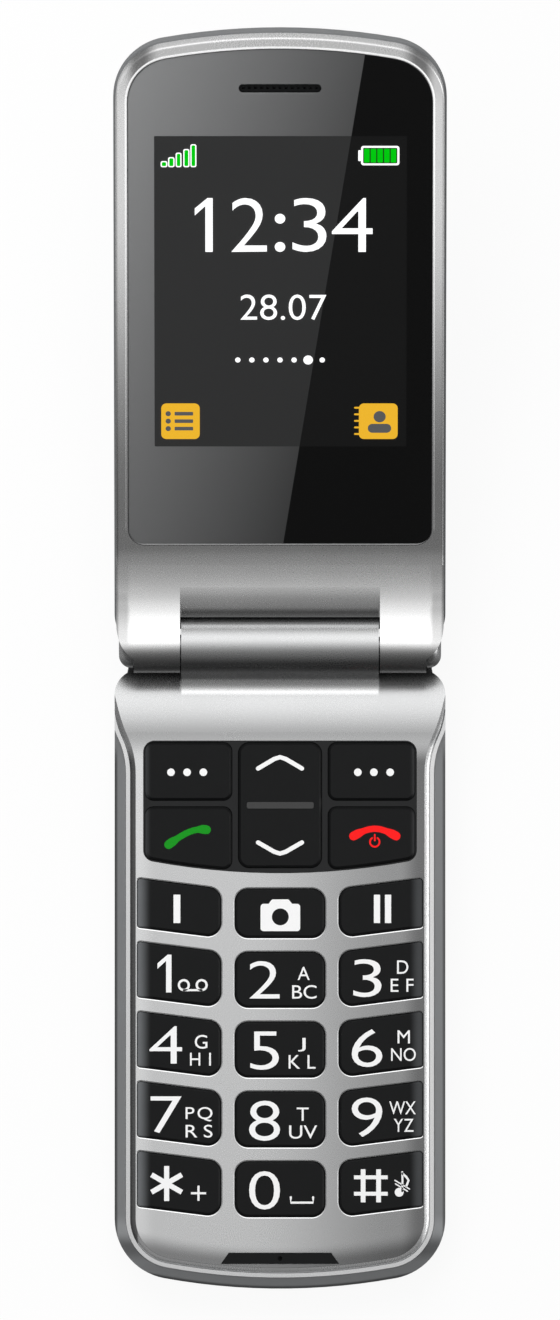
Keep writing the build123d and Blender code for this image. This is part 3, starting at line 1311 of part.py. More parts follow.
BASE_PIECES = {
    "base_front_housing": base_front_housing,
    "base_rear_housing": base_rear_housing,
    "base_trim": base_trim,
    "nav_panel": nav_panel,
    "keypad_mat": keypad_mat,
    "dome_sheet": dome_sheet,
    "main_board": main_board,
    "board_shields": board_shields,
    "battery": battery,
    "battery_connector": battery_connector,
    "battery_cover": battery_cover,
    "loudspeaker": loudspeaker,
    "microphone": microphone,
    "mic_insert": mic_insert,
    "usb_socket": usb_socket,
    "sim_holder": sim_holder,
    "vibration_motor": vibration_motor,
    "antenna": antenna,
    "base_screws": base_screws,
    "volume_rocker": volume_rocker,
    "nav_rocker": nav_rocker,
    "hinge_cartridge": hinge_cartridge,
    "hinge_spring": hinge_spring,
    "hinge_bush": hinge_bush,
    "display_flex": display_flex,
}

LID_PIECES = {
    "lid_inner_housing": lid_inner_housing,
    "lid_outer_housing": lid_outer_housing,
    "display_window": display_window,
    "earpiece_grille": earpiece_grille,
    "earpiece_speaker": earpiece_speaker,
    "main_display": main_display,
    "lid_board": lid_board,
    "outer_display": outer_display,
    "outer_window": outer_window,
    "camera_module": camera_module,
    "camera_window": camera_window,
    "lid_screws": lid_screws,
    "lid_magnet": lid_magnet,
    "hinge_cam": hinge_cam,
    "hinge_pin": hinge_pin,
    "hinge_end_caps": hinge_end_caps,
}


def write(name, piece, place=Pos(0, 0, 0)):
    """Write one node, which is a solid or a list of separate solids."""
    solids = []
    for item in piece if isinstance(piece, list) else [piece]:
        solids += (place * item).solids()
    export_step(Compound(children=solids), f"parts/{name}.step")


def main():
    """Build every node and write its file."""
    os.makedirs("parts", exist_ok=True)
    for name, build in BASE_PIECES.items():
        write(name, build())
    for name, outline in number_pad().items():
        write(name, number_key(outline))
    for name, outline in cluster_keys().items():
        write(name, key_solid(outline))
    opened = Pos(0, HINGE_Y, HINGE_Z) * Rot(180 - OPEN_ANGLE, 0, 0) * Pos(0, -HINGE_Y, -HINGE_Z)
    for name, build in LID_PIECES.items():
        write(name, build(), opened)


if __name__ == "__main__":
    main()
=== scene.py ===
import functools
import logging
import math
from collections.abc import Iterable, Sequence
from dataclasses import dataclass, field
from enum import Enum, IntEnum

import bpy
import numpy as np
from mathutils import Matrix, Vector


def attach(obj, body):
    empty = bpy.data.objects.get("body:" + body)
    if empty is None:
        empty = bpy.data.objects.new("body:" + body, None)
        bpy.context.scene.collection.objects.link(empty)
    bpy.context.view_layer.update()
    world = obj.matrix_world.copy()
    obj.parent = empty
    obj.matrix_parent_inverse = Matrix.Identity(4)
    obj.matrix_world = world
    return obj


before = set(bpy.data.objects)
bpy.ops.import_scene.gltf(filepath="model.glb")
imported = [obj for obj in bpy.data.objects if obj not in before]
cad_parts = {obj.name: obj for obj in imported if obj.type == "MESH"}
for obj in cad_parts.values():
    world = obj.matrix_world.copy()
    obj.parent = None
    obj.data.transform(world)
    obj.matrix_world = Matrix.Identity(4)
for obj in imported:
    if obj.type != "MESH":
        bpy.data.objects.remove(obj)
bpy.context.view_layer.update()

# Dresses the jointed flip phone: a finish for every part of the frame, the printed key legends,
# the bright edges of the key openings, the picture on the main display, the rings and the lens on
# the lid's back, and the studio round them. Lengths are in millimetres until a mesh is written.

LOG = logging.getLogger("flip_phone")
MM = 0.001

Colour = tuple[float, float, float]
Point = tuple[float, float]
Box = tuple[float, float, float, float]
Loop = np.ndarray
Piece = bpy.types.Object
Node = bpy.types.Node
Socket = bpy.types.NodeSocket

WHITE = (1.0, 1.0, 1.0)

# ---- Places shared with the frame ----
HINGE_Y = 50.5
HINGE_Z = 10.0
OPEN_LEAN = math.radians(20.0)
FACE_Z = 9.75
FACE_SIDE_X = 22.4
# Centre from which painted shade grows outwards at the base's far end.
SHADE_CENTRE = (0.0, 0.051, 0.0)
KEY_TOP = 10.0
PRINT_DEPTH = 0.02
RIDGE_HEIGHT = 0.12


class Body(str, Enum):
    """The two large bodies that new pieces ride on."""

    BASE = "base"
    LID = "lid"


class Along(IntEnum):
    """What a ramp of tone runs along: an axis, or the distance from SHADE_CENTRE in the plane."""

    X = 0
    Y = 1
    Z = 2
    REACH = 3


X, Y, Z, REACH = Along


# ---- Finishes ----
@dataclass(frozen=True)
class Ramp:
    """Smooth change from `before` at `start` to `after` at `end`, in millimetres."""

    along: Along
    start: float
    end: float
    after: float
    before: float = 1.0


@dataclass(frozen=True)
class PaintedLightZone:
    """Painted light and shade: a product of ramps that scales a colour, and counts only where the product of
    the `inside` ramps is one.
    """

    ramps: tuple[Ramp, ...]
    inside: tuple[Ramp, ...] = ()


def gate(along: Along, start: float, end: float) -> Ramp:
    """Ramp that opens: nothing before its start and all after its end."""
    return Ramp(along, start, end, 1.0, before=0.0)


def both_sides(start: float, end: float, after: float) -> tuple[Ramp, Ramp]:
    """The same ramp outwards at the left and at the right."""
    return Ramp(X, -start, -end, after), Ramp(X, start, end, after)


class NodeSheet:
    """One node tree, with short calls that add its nodes and link them."""

    def __init__(self, owner: bpy.types.Material | bpy.types.World) -> None:
        """Empties the tree of a new material or world.

        Args:
            owner: What the tree belongs to.
        """
        self.owner = owner
        owner.use_nodes = True
        self.tree = owner.node_tree
        self.tree.nodes.clear()

    @functools.cached_property
    def place(self) -> Socket:
        """The point that is shaded, in the object's own coordinates."""
        return self.add("TexCoord").outputs["Object"]

    def add(self, kind: str, inputs: dict | None = None, **settings: object) -> Node:
        """Adds a node.

        Args:
            kind: The node type without its "ShaderNode" start.
            inputs: Socket name or number, with a constant or another node's output.
            settings: The node's own properties.

        Returns:
            The new node.
        """
        node = self.tree.nodes.new("ShaderNode" + kind)
        for key, value in settings.items():
            setattr(node, key, value)
        for key, value in (inputs or {}).items():
            socket = node.inputs[key]
            if isinstance(value, Socket):
                self.tree.links.new(value, socket)
            else:
                socket.default_value = (*value, 1.0) if socket.type == "RGBA" else value
        return node

    def noise(self, size: float, detail: float = 2.0, stretch: Colour = (1, 1, 1)) -> Socket:
        """Noise with blobs of a size in millimetres, as a value round 0.5.

        Args:
            size: Size of one blob.
            detail: Number of finer layers.
            stretch: How much longer the blobs are along X, Y and Z.

        Returns:
            The noise value.
        """
        scale = tuple(1 / (size * MM * s) for s in stretch)
        place = self.add("Mapping", {"Vector": self.place, "Scale": scale}).outputs[0]
        return self.add("TexNoise", {"Vector": place, "Scale": 1.0, "Detail": detail}).outputs[0]

    def calc(self, kind: str, a: object, b: object = 0.0) -> Socket:
        """A Math node of one or two values, not clamped."""
        return self.add("Math", {0: a, 1: b}, operation=kind).outputs[0]

    def product(self, values: Iterable[object]) -> Socket:
        """Product of several values."""
        return functools.reduce(functools.partial(self.calc, "MULTIPLY"), values)

    def ranged(self, value: object, low: float, high: float, to_low: float, to_high: float,
               smooth: bool = False) -> Socket:
        """Carries a value from one range to another, clamped.

        Args:
            value: The value that is read.
            low: Where the first range starts.
            high: Where it ends.
            to_low: Result at its start.
            to_high: Result at its end.
            smooth: Whether the ends ease in and out.

        Returns:
            The result.
        """
        inputs = {"Value": value, "From Min": low, "From Max": high, "To Min": to_low, "To Max": to_high}
        kind = "SMOOTHSTEP" if smooth else "LINEAR"
        return self.add("MapRange", inputs, interpolation_type=kind).outputs[0]

    def blend(self, factor: object, first: object, second: object) -> Socket:
        """Mixes two colours by a factor."""
        return self.add("Mix", {0: factor, 6: first, 7: second}, data_type="RGBA").outputs[2]

    def mix(self, factor: object, first: object, second: object) -> Socket:
        """Mixes two values by a factor."""
        return self.add("Mix", {0: factor, 2: first, 3: second}, data_type="FLOAT").outputs[0]

    def tone(self, colour: Colour, spread: float, factor: object) -> Socket:
        """A colour that wanders darker and lighter by a share of itself."""
        ends = [tuple(min(1.0, c * (1 + share)) for c in colour) for share in (-spread, spread)]
        return self.blend(factor, *ends)

    def bump(self, height: object, strength: float, depth: float) -> Socket:
        """Bump of a depth in millimetres."""
        return self.add("Bump", {"Height": height, "Strength": strength, "Distance": depth * MM}).outputs[0]

    def parts(self) -> tuple[Socket, ...]:
        """The X, Y and Z of the point that is shaded, in metres."""
        return tuple(self.add("SeparateXYZ", {0: self.place}).outputs)

    def level(self, ramps: Iterable[Ramp]) -> Socket:
        """Product of the values of several ramps at the point that is shaded.

        Args:
            ramps: The ramps.

        Returns:
            The product.
        """
        x, y, z = self.parts()
        flat = self.add("CombineXYZ", {0: x, 1: y}).outputs[0]
        reach = self.add("VectorMath", {0: flat, 1: SHADE_CENTRE}, operation="DISTANCE").outputs["Value"]
        values = (x, y, z, reach)
        return self.product(self.ranged(values[r.along], r.start * MM, r.end * MM, r.before, r.after, True)
                            for r in ramps)

    def zone(self, zone: PaintedLightZone) -> Socket:
        """Level of one zone at the point that is shaded."""
        level = self.level(zone.ramps)
        return self.mix(self.level(zone.inside), 1.0, level) if zone.inside else level

    def seen(self) -> Socket:
        """Tells which rays see the studio as it looks: from the camera, from gloss and through glass.

        Returns:
            One for those rays, and nothing for all others.
        """
        rays = self.add("LightPath").outputs
        clear = self.calc("MAXIMUM", rays["Is Glossy Ray"], rays["Is Transmission Ray"])
        return self.calc("MAXIMUM", rays["Is Camera Ray"], clear)

    def finish(self, shader: Node, output: str = "OutputMaterial") -> bpy.types.Material | bpy.types.World:
        """Links the last shader to the output and gives the tree's owner."""
        self.add(output, {"Surface": shader.outputs[0]})
        return self.owner


@dataclass(frozen=True)
class Finish:
    """A named finish. Each kind of finish describes one shader."""

    name: str

    def shader(self, sheet: NodeSheet) -> Node:
        """The last shader of the finish, made in a node tree."""
        raise NotImplementedError

    @functools.cached_property
    def material(self) -> bpy.types.Material:
        """The material, made once."""
        sheet = NodeSheet(bpy.data.materials.new(self.name))
        return sheet.finish(self.shader(sheet))


@dataclass(frozen=True)
class Moulding(Finish):
    """Moulded, painted or lacquered surface: fine grain, slight clouding and a little wear in its gloss.

    The colour wanders by `clouding` over patches of `patch` mm, and is multiplied by the level of every
    zone of painted light and shade. The grain of `grain` mm tips the normal and varies the roughness.
    """

    colour: Colour
    roughness: float = 0.4
    metallic: float = 0.0
    specular: float = 0.5
    clouding: float = 0.04
    patch: float = 9.0
    grain: float = 0.22
    relief: float = 0.12
    coat: float = 0.0
    painted_light_zones: tuple[PaintedLightZone, ...] = ()
    less_metal: Ramp | None = None

    def shader(self, sheet: NodeSheet) -> Node:
        """Principled surface with its grain, clouds and zones.

        Args:
            sheet: The node tree.

        Returns:
            The shader.
        """
        grain, clouds = sheet.noise(self.grain, 3.0), sheet.noise(self.patch)
        colour = sheet.tone(self.colour, self.clouding, clouds)
        # Painted light and shade: the colour is scaled by the level of every zone.
        if self.painted_light_zones:
            level = sheet.product(sheet.zone(zone) for zone in self.painted_light_zones)
            colour = sheet.add("VectorMath", {0: colour, "Scale": level}, operation="SCALE").outputs[0]
        return sheet.add("BsdfPrincipled", {
            "Base Color": colour,
            "Metallic": sheet.level((self.less_metal,)) if self.less_metal else self.metallic,
            "Roughness": sheet.ranged(sheet.calc("ADD", grain, clouds), 0.6, 1.4,
                                      self.roughness * 0.88, self.roughness * 1.12),
            "Specular IOR Level": self.specular, "Coat Weight": self.coat, "Coat Roughness": 0.06,
            "Normal": sheet.bump(grain, self.relief, self.grain * 0.1),
        })


@dataclass(frozen=True)
class Metal(Finish):
    """Drawn or rolled metal: long fine scratches along one axis and a slow change of tone."""

    colour: Colour
    roughness: float = 0.3
    stretch: Colour = (14, 1, 1)
    scratch: float = 0.08

    def shader(self, sheet: NodeSheet) -> Node:
        """Principled metal with its scratches.

        Args:
            sheet: The node tree.

        Returns:
            The shader.
        """
        lines = sheet.noise(self.scratch, 4.0, self.stretch)
        return sheet.add("BsdfPrincipled", {
            "Base Color": sheet.tone(self.colour, 0.06, sheet.noise(4.0)), "Metallic": 1.0,
            "Roughness": sheet.ranged(lines, 0.3, 0.7, self.roughness * 0.8, self.roughness * 1.25),
            "Normal": sheet.bump(lines, 0.2, 0.01),
        })


@dataclass(frozen=True)
class Ink(Finish):
    """Printed ink: the colour mottled by the screen it was printed through."""

    colour: Colour
    roughness: float = 0.45

    def shader(self, sheet: NodeSheet) -> Node:
        """Principled ink with its mottling.

        Args:
            sheet: The node tree.

        Returns:
            The shader.
        """
        mottle = sheet.noise(0.12)
        return sheet.add("BsdfPrincipled", {
            "Base Color": sheet.tone(self.colour, 0.05, mottle), "Roughness": self.roughness,
            "Specular IOR Level": 0.3, "Normal": sheet.bump(mottle, 0.1, 0.01),
        })


@dataclass(frozen=True)
class Lit(Finish):
    """Lit part of a display picture: a steady glow, with its pixels a shade apart."""

    low: Colour
    high: Colour
    glow: float = 1.0

    def shader(self, sheet: NodeSheet) -> Node:
        """Black surface that glows.

        Args:
            sheet: The node tree.

        Returns:
            The shader.
        """
        return sheet.add("BsdfPrincipled", {
            "Base Color": (0.0, 0.0, 0.0), "Roughness": 0.6, "Specular IOR Level": 0.0,
            "Emission Color": sheet.blend(sheet.noise(0.15, 1.0), self.low, self.high),
            "Emission Strength": self.glow,
        })


@dataclass(frozen=True)
class ClearWindow(Finish):
    """Hard-coated clear window: light goes straight through, with the gloss of its face over it."""

    tint: Colour = (0.96, 0.965, 0.97)
    roughness: float = 0.04
    ior: float = 1.25

    def shader(self, sheet: NodeSheet) -> Node:
        """Transparent body and glossy face, shared by the Fresnel law.

        Args:
            sheet: The node tree.

        Returns:
            The shader.
        """
        haze = sheet.ranged(sheet.noise(6.0, 3.0), 0.3, 0.7, self.roughness, self.roughness * 1.6)
        clear = sheet.add("BsdfTransparent", {"Color": self.tint})
        gloss = sheet.add("BsdfGlossy", {"Color": WHITE, "Roughness": haze})
        share = sheet.add("Fresnel", {"IOR": self.ior}).outputs[0]
        return sheet.add("MixShader", {0: share, 1: clear.outputs[0], 2: gloss.outputs[0]})


@dataclass(frozen=True)
class PrintWithSheen(Finish):
    """Ink behind the window with a painted reflection of a soft light on it, which ends on a straight
    slanting line.

    On the -X side of the line the painted reflection falls from `outer` at the edge to `inner` at the line,
    and fades by `fade` from the far end to the hinge end. On the other side it is `dark`, with no reflection.
    """

    outer: float
    inner: float
    dark: float
    fade: float = 0.0
    foot: Point = (0.41, 16.6)
    head: Point = (13.2, 97.8)
    edge_x: float = -23.8
    roughness: float = 0.5

    def shader(self, sheet: NodeSheet) -> Node:
        """Matt surface in the two tones of the painted reflection.

        Args:
            sheet: The node tree.

        Returns:
            The shader.
        """
        x, y, _ = sheet.parts()
        low, high = ((HINGE_Y + v * math.cos(OPEN_LEAN)) * MM for v in (self.foot[1], self.head[1]))
        line_x = sheet.ranged(y, low, high, self.foot[0] * MM, self.head[0] * MM)
        share = sheet.calc("DIVIDE", sheet.calc("SUBTRACT", line_x, x),
                           sheet.calc("SUBTRACT", line_x, self.edge_x * MM))
        shade = sheet.calc("MULTIPLY", sheet.ranged(share, 0.0, 1.0, self.inner, self.outer),
                           sheet.ranged(y, low, high, 1 - self.fade, 1.0))
        grey = sheet.mix(sheet.calc("LESS_THAN", x, line_x), self.dark, shade)
        colour = sheet.add("CombineColor", {0: grey, 1: grey, 2: grey}).outputs[0]
        return sheet.add("BsdfPrincipled", {
            "Base Color": colour, "Roughness": self.roughness, "Specular IOR Level": 0.0})


@dataclass(frozen=True)
class BoardFinish(Finish):
    """Circuit board: solder mask over tracks, which show as a paler pattern of square cells."""

    colour: Colour = (0.02, 0.12, 0.05)
    cells_per_metre: float = 900.0

    def shader(self, sheet: NodeSheet) -> Node:
        """Principled board with its tracks.

        Args:
            sheet: The node tree.

        Returns:
            The shader.
        """
        place = sheet.add("Mapping", {"Vector": sheet.place, "Scale": (self.cells_per_metre,) * 3}).outputs[0]
        cells = sheet.add("TexVoronoi", {"Vector": place, "Scale": 1.0}, distance="CHEBYCHEV", feature="F1")
        tracks = sheet.ranged(cells.outputs[0], 0.42, 0.5, 0.0, 1.0)
        paler = tuple(min(1.0, c * 1.9) for c in self.colour)
        return sheet.add("BsdfPrincipled", {
            "Base Color": sheet.blend(tracks, self.colour, paler), "Roughness": 0.35,
            "Normal": sheet.bump(tracks, 0.3, 0.03),
        })


# ---- Where light and shade are painted on the housings ----
KEYPAD_END = gate(Y, 36.0, 32.0)
FACE = (KEYPAD_END, gate(Z, 9.66, 9.72))
SLOPE = (KEYPAD_END, gate(Z, 9.72, 9.66))
BAND = (KEYPAD_END, gate(Z, 6.85, 7.05))
BARREL = (gate(X, -15.6, -15.4), gate(X, 15.6, 15.4))


class Paint:
    """Every finish of the phone, by name."""

    # Painted light and shade on the base: darker towards the hinge past the keypad, a dark band at the foot
    # of the barrel with a lighter one on the barrel between the knuckles, darker on the barrel's far side,
    # the face lighter at the left and darker towards the right and at its far end, and the left slope darker
    # and the right slope lighter.
    SILVER = Moulding(
        "satin_silver", (0.84, 0.845, 0.85), roughness=0.27, metallic=0.9, clouding=0.012, patch=14.0,
        grain=0.16, relief=0.008, painted_light_zones=(
            PaintedLightZone((Ramp(Y, 33.0, 37.0, 0.68), Ramp(Y, 49.2, 47.6, 0.3), Ramp(Y, 46.3, 44.8, 3.33),
                  Ramp(Y, 52.8, 54.6, 0.6))),
            PaintedLightZone((Ramp(Y, 45.6, 44.9, 2.6), Ramp(Y, 44.4, 42.6, 0.385)), BARREL),
            PaintedLightZone((Ramp(X, -19.4, -22.2, 1.18), Ramp(X, -7.0, 20.0, 0.52), Ramp(X, 18.6, 22.0, 0.55),
                  Ramp(REACH, 94.6, 97.6, 0.4)), FACE),
            PaintedLightZone((Ramp(X, -22.5, -22.2, 1.0, before=0.3), Ramp(X, 22.2, 22.5, 2.5)), SLOPE)))
    # Painted light and shade on the lid: lighter and darker bands along its length, a bright band just above
    # the hinge and deep shade at its lip over the barrel, light and shade across the far corners, a dark
    # outer edge, and darker sides and barrel beside the hinge.
    LID_SILVER = Moulding(
        "lid_silver", (0.99, 0.99, 0.99), roughness=0.27, clouding=0.012, patch=14.0, grain=0.16,
        relief=0.008, less_metal=Ramp(Y, 73.0, 122.0, 0.4, before=0.9), painted_light_zones=(
            PaintedLightZone((Ramp(Y, 63.0, 66.2, 0.72), Ramp(Y, 73.0, 122.0, 1.34), Ramp(Y, 138.0, 143.0, 0.72),
                  Ramp(Y, 56.0, 57.6, 1.22), Ramp(Y, 57.8, 60.0, 1.5), Ramp(Y, 61.5, 66.5, 0.546),
                  Ramp(Y, 51.8, 46.6, 0.12))),
            PaintedLightZone((*both_sides(18.6, 21.4, 0.3), *both_sides(22.4, 24.4, 2.9)), (gate(Y, 134.0, 138.0),)),
            PaintedLightZone(both_sides(25.2, 25.6, 0.5)),
            PaintedLightZone(both_sides(23.3, 24.2, 0.6), (gate(Y, 66.0, 58.0), gate(Y, 50.0, 52.0))),
            PaintedLightZone((Ramp(Y, 56.8, 55.8, 0.35),), BARREL)))
    # Painted highlight: the line beside the window pure white, darker towards the hinge.
    RIM_HIGHLIGHT = Moulding("window_rim", WHITE, roughness=0.3, relief=0.01,
                        painted_light_zones=(PaintedLightZone((Ramp(Y, 70.0, 130.0, 1.0, before=0.35),)),))
    # Painted light and shade on the grey band: lighter, then darker, then back across its bottom end, and a
    # dark outer edge.
    GREY = Moulding(
        "grey_band", (0.2, 0.205, 0.21), roughness=0.42, metallic=0.15, clouding=0.03, grain=0.2, painted_light_zones=(
            PaintedLightZone((Ramp(Y, -38.5, -41.0, 1.4), Ramp(Y, -41.5, -43.8, 0.42), Ramp(Y, -44.4, -46.4, 1.7))),
            PaintedLightZone((*both_sides(25.4, 25.8, 0.3), Ramp(REACH, 100.9, 101.3, 0.3)), BAND)))
    # Painted highlight: the trim lighter towards both outer sides of the band.
    TRIM = Moulding(
        "bright_trim", (0.95, 0.955, 0.96), roughness=0.22, metallic=0.95, clouding=0.02, relief=0.03,
        painted_light_zones=(PaintedLightZone((Ramp(X, 23.1, 23.4, 1.7), Ramp(X, -24.05, -24.25, 1.6)), BAND),))
    # Painted highlight: the outer ends of the keys in the side columns lighter.
    KEY = Moulding(
        "black_key", (0.0062, 0.0065, 0.0068), roughness=0.42, specular=0.17, clouding=0.1, patch=3.0,
        grain=0.12, relief=0.1, painted_light_zones=(PaintedLightZone((Ramp(X, -20.2, -22.6, 22.0), Ramp(X, 20.3, 21.9, 8.0))),))
    PANEL = Moulding("panel_black", (0.010, 0.0105, 0.011), roughness=0.2, specular=0.3, clouding=0.08,
                     grain=0.3, relief=0.03)
    SMOKED = Moulding("smoked_glass", (0.006, 0.0065, 0.008), roughness=0.07, specular=0.4, clouding=0.1,
                      patch=12.0, grain=1.2, relief=0.01, coat=0.3)
    LENS = Moulding("lens_coating", (0.012, 0.006, 0.03), roughness=0.04, specular=0.8, clouding=0.2,
                    patch=0.8, relief=0.0, coat=1.0)
    WINDOW = ClearWindow("clear_window")
    # Painted reflection: a band of sheen left of a slanting line on the window print and, fainter, on the
    # screen.
    WINDOW_INK = PrintWithSheen("window_ink_and_sheen", outer=0.355, inner=0.122, dark=0.0085, fade=0.45)
    SCREEN = PrintWithSheen("screen_sheen", outer=0.051, inner=0.050, dark=0.0155)
    DISPLAY = Moulding("display_module", (0.05, 0.05, 0.055), roughness=0.3, metallic=0.4)
    SILICONE = Moulding("silicone", (0.55, 0.55, 0.53), roughness=0.6, relief=0.15)
    FILM = Moulding("amber_film", (0.36, 0.17, 0.03), roughness=0.25, clouding=0.12, coat=0.5)
    BOARD = BoardFinish("board_green")
    TIN = Metal("tinned_sheet", (0.62, 0.62, 0.6), 0.28)
    STEEL = Metal("screw_steel", (0.42, 0.42, 0.43), 0.3, (1, 14, 1))
    SPRING = Metal("spring_steel", (0.32, 0.32, 0.34), 0.35)
    ACETAL = Moulding("acetal", (0.7, 0.69, 0.63), roughness=0.4)
    BLACK = Moulding("moulded_black", (0.022, 0.022, 0.024), roughness=0.5, grain=0.3, relief=0.3)
    CELL = Moulding("battery_label", (0.045, 0.05, 0.06), roughness=0.38, clouding=0.12)
    MAGNET = Metal("nickel_plate", (0.5, 0.49, 0.47), 0.2)
    WHITE_INK = Ink("white_ink", (0.86, 0.86, 0.86))
    GREEN_INK = Ink("green_ink", (0.0, 0.26, 0.004))
    RED_INK = Ink("red_ink", (0.93, 0.002, 0.002))
    GREY_INK = Ink("grey_ink", (0.045, 0.045, 0.045))
    WHITE_LIT = Lit("white_pixels", (0.93, 0.93, 0.93), WHITE, 1.3)
    GREEN_LIT = Lit("green_pixels", (0.0, 0.56, 0.0), (0.0, 0.66, 0.01))
    YELLOW_LIT = Lit("yellow_pixels", (0.86, 0.46, 0.02), (0.94, 0.52, 0.04))
    GREY_LIT = Lit("grey_pixels", (0.09, 0.09, 0.09), (0.12, 0.12, 0.12))


SLOT_FINISH = {
    "silver_case": Paint.SILVER, "grey_case": Paint.GREY, "bright_trim": Paint.TRIM,
    "black_key": Paint.KEY, "panel_black": Paint.PANEL, "window_glass": Paint.SMOKED,
    "display_panel": Paint.DISPLAY, "silicone": Paint.SILICONE, "film": Paint.FILM, "board": Paint.BOARD,
    "bright_metal": Paint.TIN, "screw_steel": Paint.STEEL, "spring_steel": Paint.SPRING,
    "bearing_plastic": Paint.ACETAL, "module_black": Paint.BLACK, "connector_black": Paint.BLACK,
    "battery_label": Paint.CELL, "magnet": Paint.MAGNET,
}
NODE_FINISH = {"display_window": Paint.WINDOW, "lid_inner_housing": Paint.LID_SILVER,
               "microphone": Paint.BLACK, "earpiece_grille": Paint.KEY, "mic_insert": Paint.KEY}


# ---- Surfaces ----
@dataclass
class Shell:
    """Mesh arrays: points in millimetres, the corners of every face in a row, and how many each face has."""

    points: np.ndarray
    corners: np.ndarray
    sizes: np.ndarray

    def placed(self, matrix: np.ndarray) -> "Shell":
        """The shell carried by a 4 x 4 matrix: point' = R point + t."""
        return Shell(self.points @ matrix[:3, :3].T + matrix[:3, 3], self.corners, self.sizes)

    @staticmethod
    def joined(shells: Sequence["Shell"]) -> "Shell":
        """Several shells as one.

        Args:
            shells: The shells.

        Returns:
            The one shell.
        """
        starts = np.cumsum([0] + [len(s.points) for s in shells[:-1]])
        corners = [s.corners + start for s, start in zip(shells, starts)]
        return Shell(np.vstack([s.points for s in shells]), np.concatenate(corners),
                     np.concatenate([s.sizes for s in shells]))

    def piece(self, name: str, finish: Finish, body: str, slot: str | None = None,
              smooth: float | None = 40.0) -> Piece:
        """Writes the shell as an object that rides on a body.

        Args:
            name: The piece's name.
            finish: Its finish.
            body: The body that it rides on.
            slot: The record's material slot, if it takes one; not used.
            smooth: Faces that meet at less than this angle are shaded as one, or None for flat ones.

        Returns:
            The new object.
        """
        mesh = bpy.data.meshes.new(name)
        mesh.vertices.add(len(self.points))
        mesh.vertices.foreach_set("co", (self.points * MM).astype(np.float32).ravel())
        mesh.loops.add(len(self.corners))
        mesh.loops.foreach_set("vertex_index", self.corners.astype(np.int32))
        mesh.polygons.add(len(self.sizes))
        starts = np.concatenate([[0], np.cumsum(self.sizes)[:-1]])
        mesh.polygons.foreach_set("loop_start", starts.astype(np.int32))
        mesh.update(calc_edges=True)
        mesh.validate()
        if smooth is not None:
            mesh.shade_smooth()
            mesh.set_sharp_from_angle(angle=math.radians(smooth))
        mesh.materials.append(finish.material)
        made = bpy.data.objects.new(name, mesh)
        bpy.context.scene.collection.objects.link(made)
        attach(made, body)
        return made


def grid_shell(points: np.ndarray, round_u: bool, round_v: bool) -> Shell:
    """Quads over a grid of points.

    Args:
        points: U x V x 3 places; a face is (u, v), (u + 1, v), (u + 1, v + 1), (u, v + 1).
        round_u: Whether the last row joins the first.
        round_v: Whether the last column joins the first.

    Returns:
        The shell, facing along dP/du x dP/dv.
    """
    count_u, count_v = points.shape[:2]
    index = np.arange(count_u * count_v).reshape(count_u, count_v)
    a, b = np.meshgrid(np.arange(count_u - (not round_u)), np.arange(count_v - (not round_v)), indexing="ij")
    c, d = (a + 1) % count_u, (b + 1) % count_v
    quads = np.stack([index[a, b], index[c, b], index[c, d], index[a, d]], axis=-1).reshape(-1, 4)
    return Shell(points.reshape(-1, 3), quads.ravel(), np.full(len(quads), 4))


def unit(rows: np.ndarray) -> np.ndarray:
    """Every row divided by its length."""
    return rows / np.linalg.norm(rows, axis=1, keepdims=True)


def outward(loop: Loop) -> np.ndarray:
    """Unit normals of a counter-clockwise closed loop: the mean direction of the two edges, turned right."""
    ahead = unit(np.roll(loop, -1, axis=0) - loop)
    return unit(ahead + np.roll(ahead, 1, axis=0))[:, ::-1] * (1, -1)


def lip(loop: Loop, width: float, rise: float | np.ndarray, floor: float | np.ndarray,
        sink: float = 0.03) -> Shell:
    """Strip along a closed loop, sloping up outwards from the loop, with a wall at its outer side.

    Its section is a triangle from the floor at the loop to rise at width, over an underside at sink.

    Args:
        loop: The inner side.
        width: Width of the strip.
        rise: Height of the outer side over the floor, for all points or for each.
        floor: Height of the inner side, for all points or for each.
        sink: Depth of the underside.

    Returns:
        The strip.
    """
    offset = np.array([0.0, width, width, 0.0])
    rise, floor = np.broadcast_to(rise, len(loop)), np.broadcast_to(floor, len(loop))
    high = floor[:, None] + np.stack([0 * rise, rise, 0 * rise - sink, 0 * rise - sink], axis=1)
    flat = loop[:, None, :] + outward(loop)[:, None, :] * offset[None, :, None]
    return grid_shell(np.concatenate([flat, high[..., None]], axis=2)[:, ::-1], True, True)


def rounded(corners: Sequence[Point], radii: Sequence[float], steps: int = 10) -> Loop:
    """Closed polygon with rounded corners, counter-clockwise.

    At a corner of inner angle A with radius r the arc starts r / tan(A / 2) before it and its
    centre is r / sin(A / 2) away on the bisector.

    Args:
        corners: The sharp corners.
        radii: The radius at each.
        steps: Points on each arc.

    Returns:
        The loop.
    """
    points = np.array(corners, float)
    before = unit(np.roll(points, 1, axis=0) - points)
    after = unit(np.roll(points, -1, axis=0) - points)
    radius = np.array(radii, float)[:, None]
    half = np.arccos(np.clip((before * after).sum(1), -1, 1))[:, None] / 2
    centre = points + unit(before + after) * radius / np.sin(half)
    start = points + before * radius / np.tan(half) - centre
    end = points + after * radius / np.tan(half) - centre
    first = np.arctan2(start[:, 1], start[:, 0])[:, None]
    turn = (np.arctan2(end[:, 1], end[:, 0])[:, None] - first) % (2 * math.pi)
    angle = first + turn * np.linspace(0, 1, steps)[None, :]
    arcs = centre[:, None, :] + radius[:, :, None] * np.stack([np.cos(angle), np.sin(angle)], axis=-1)
    return arcs.reshape(-1, 2)


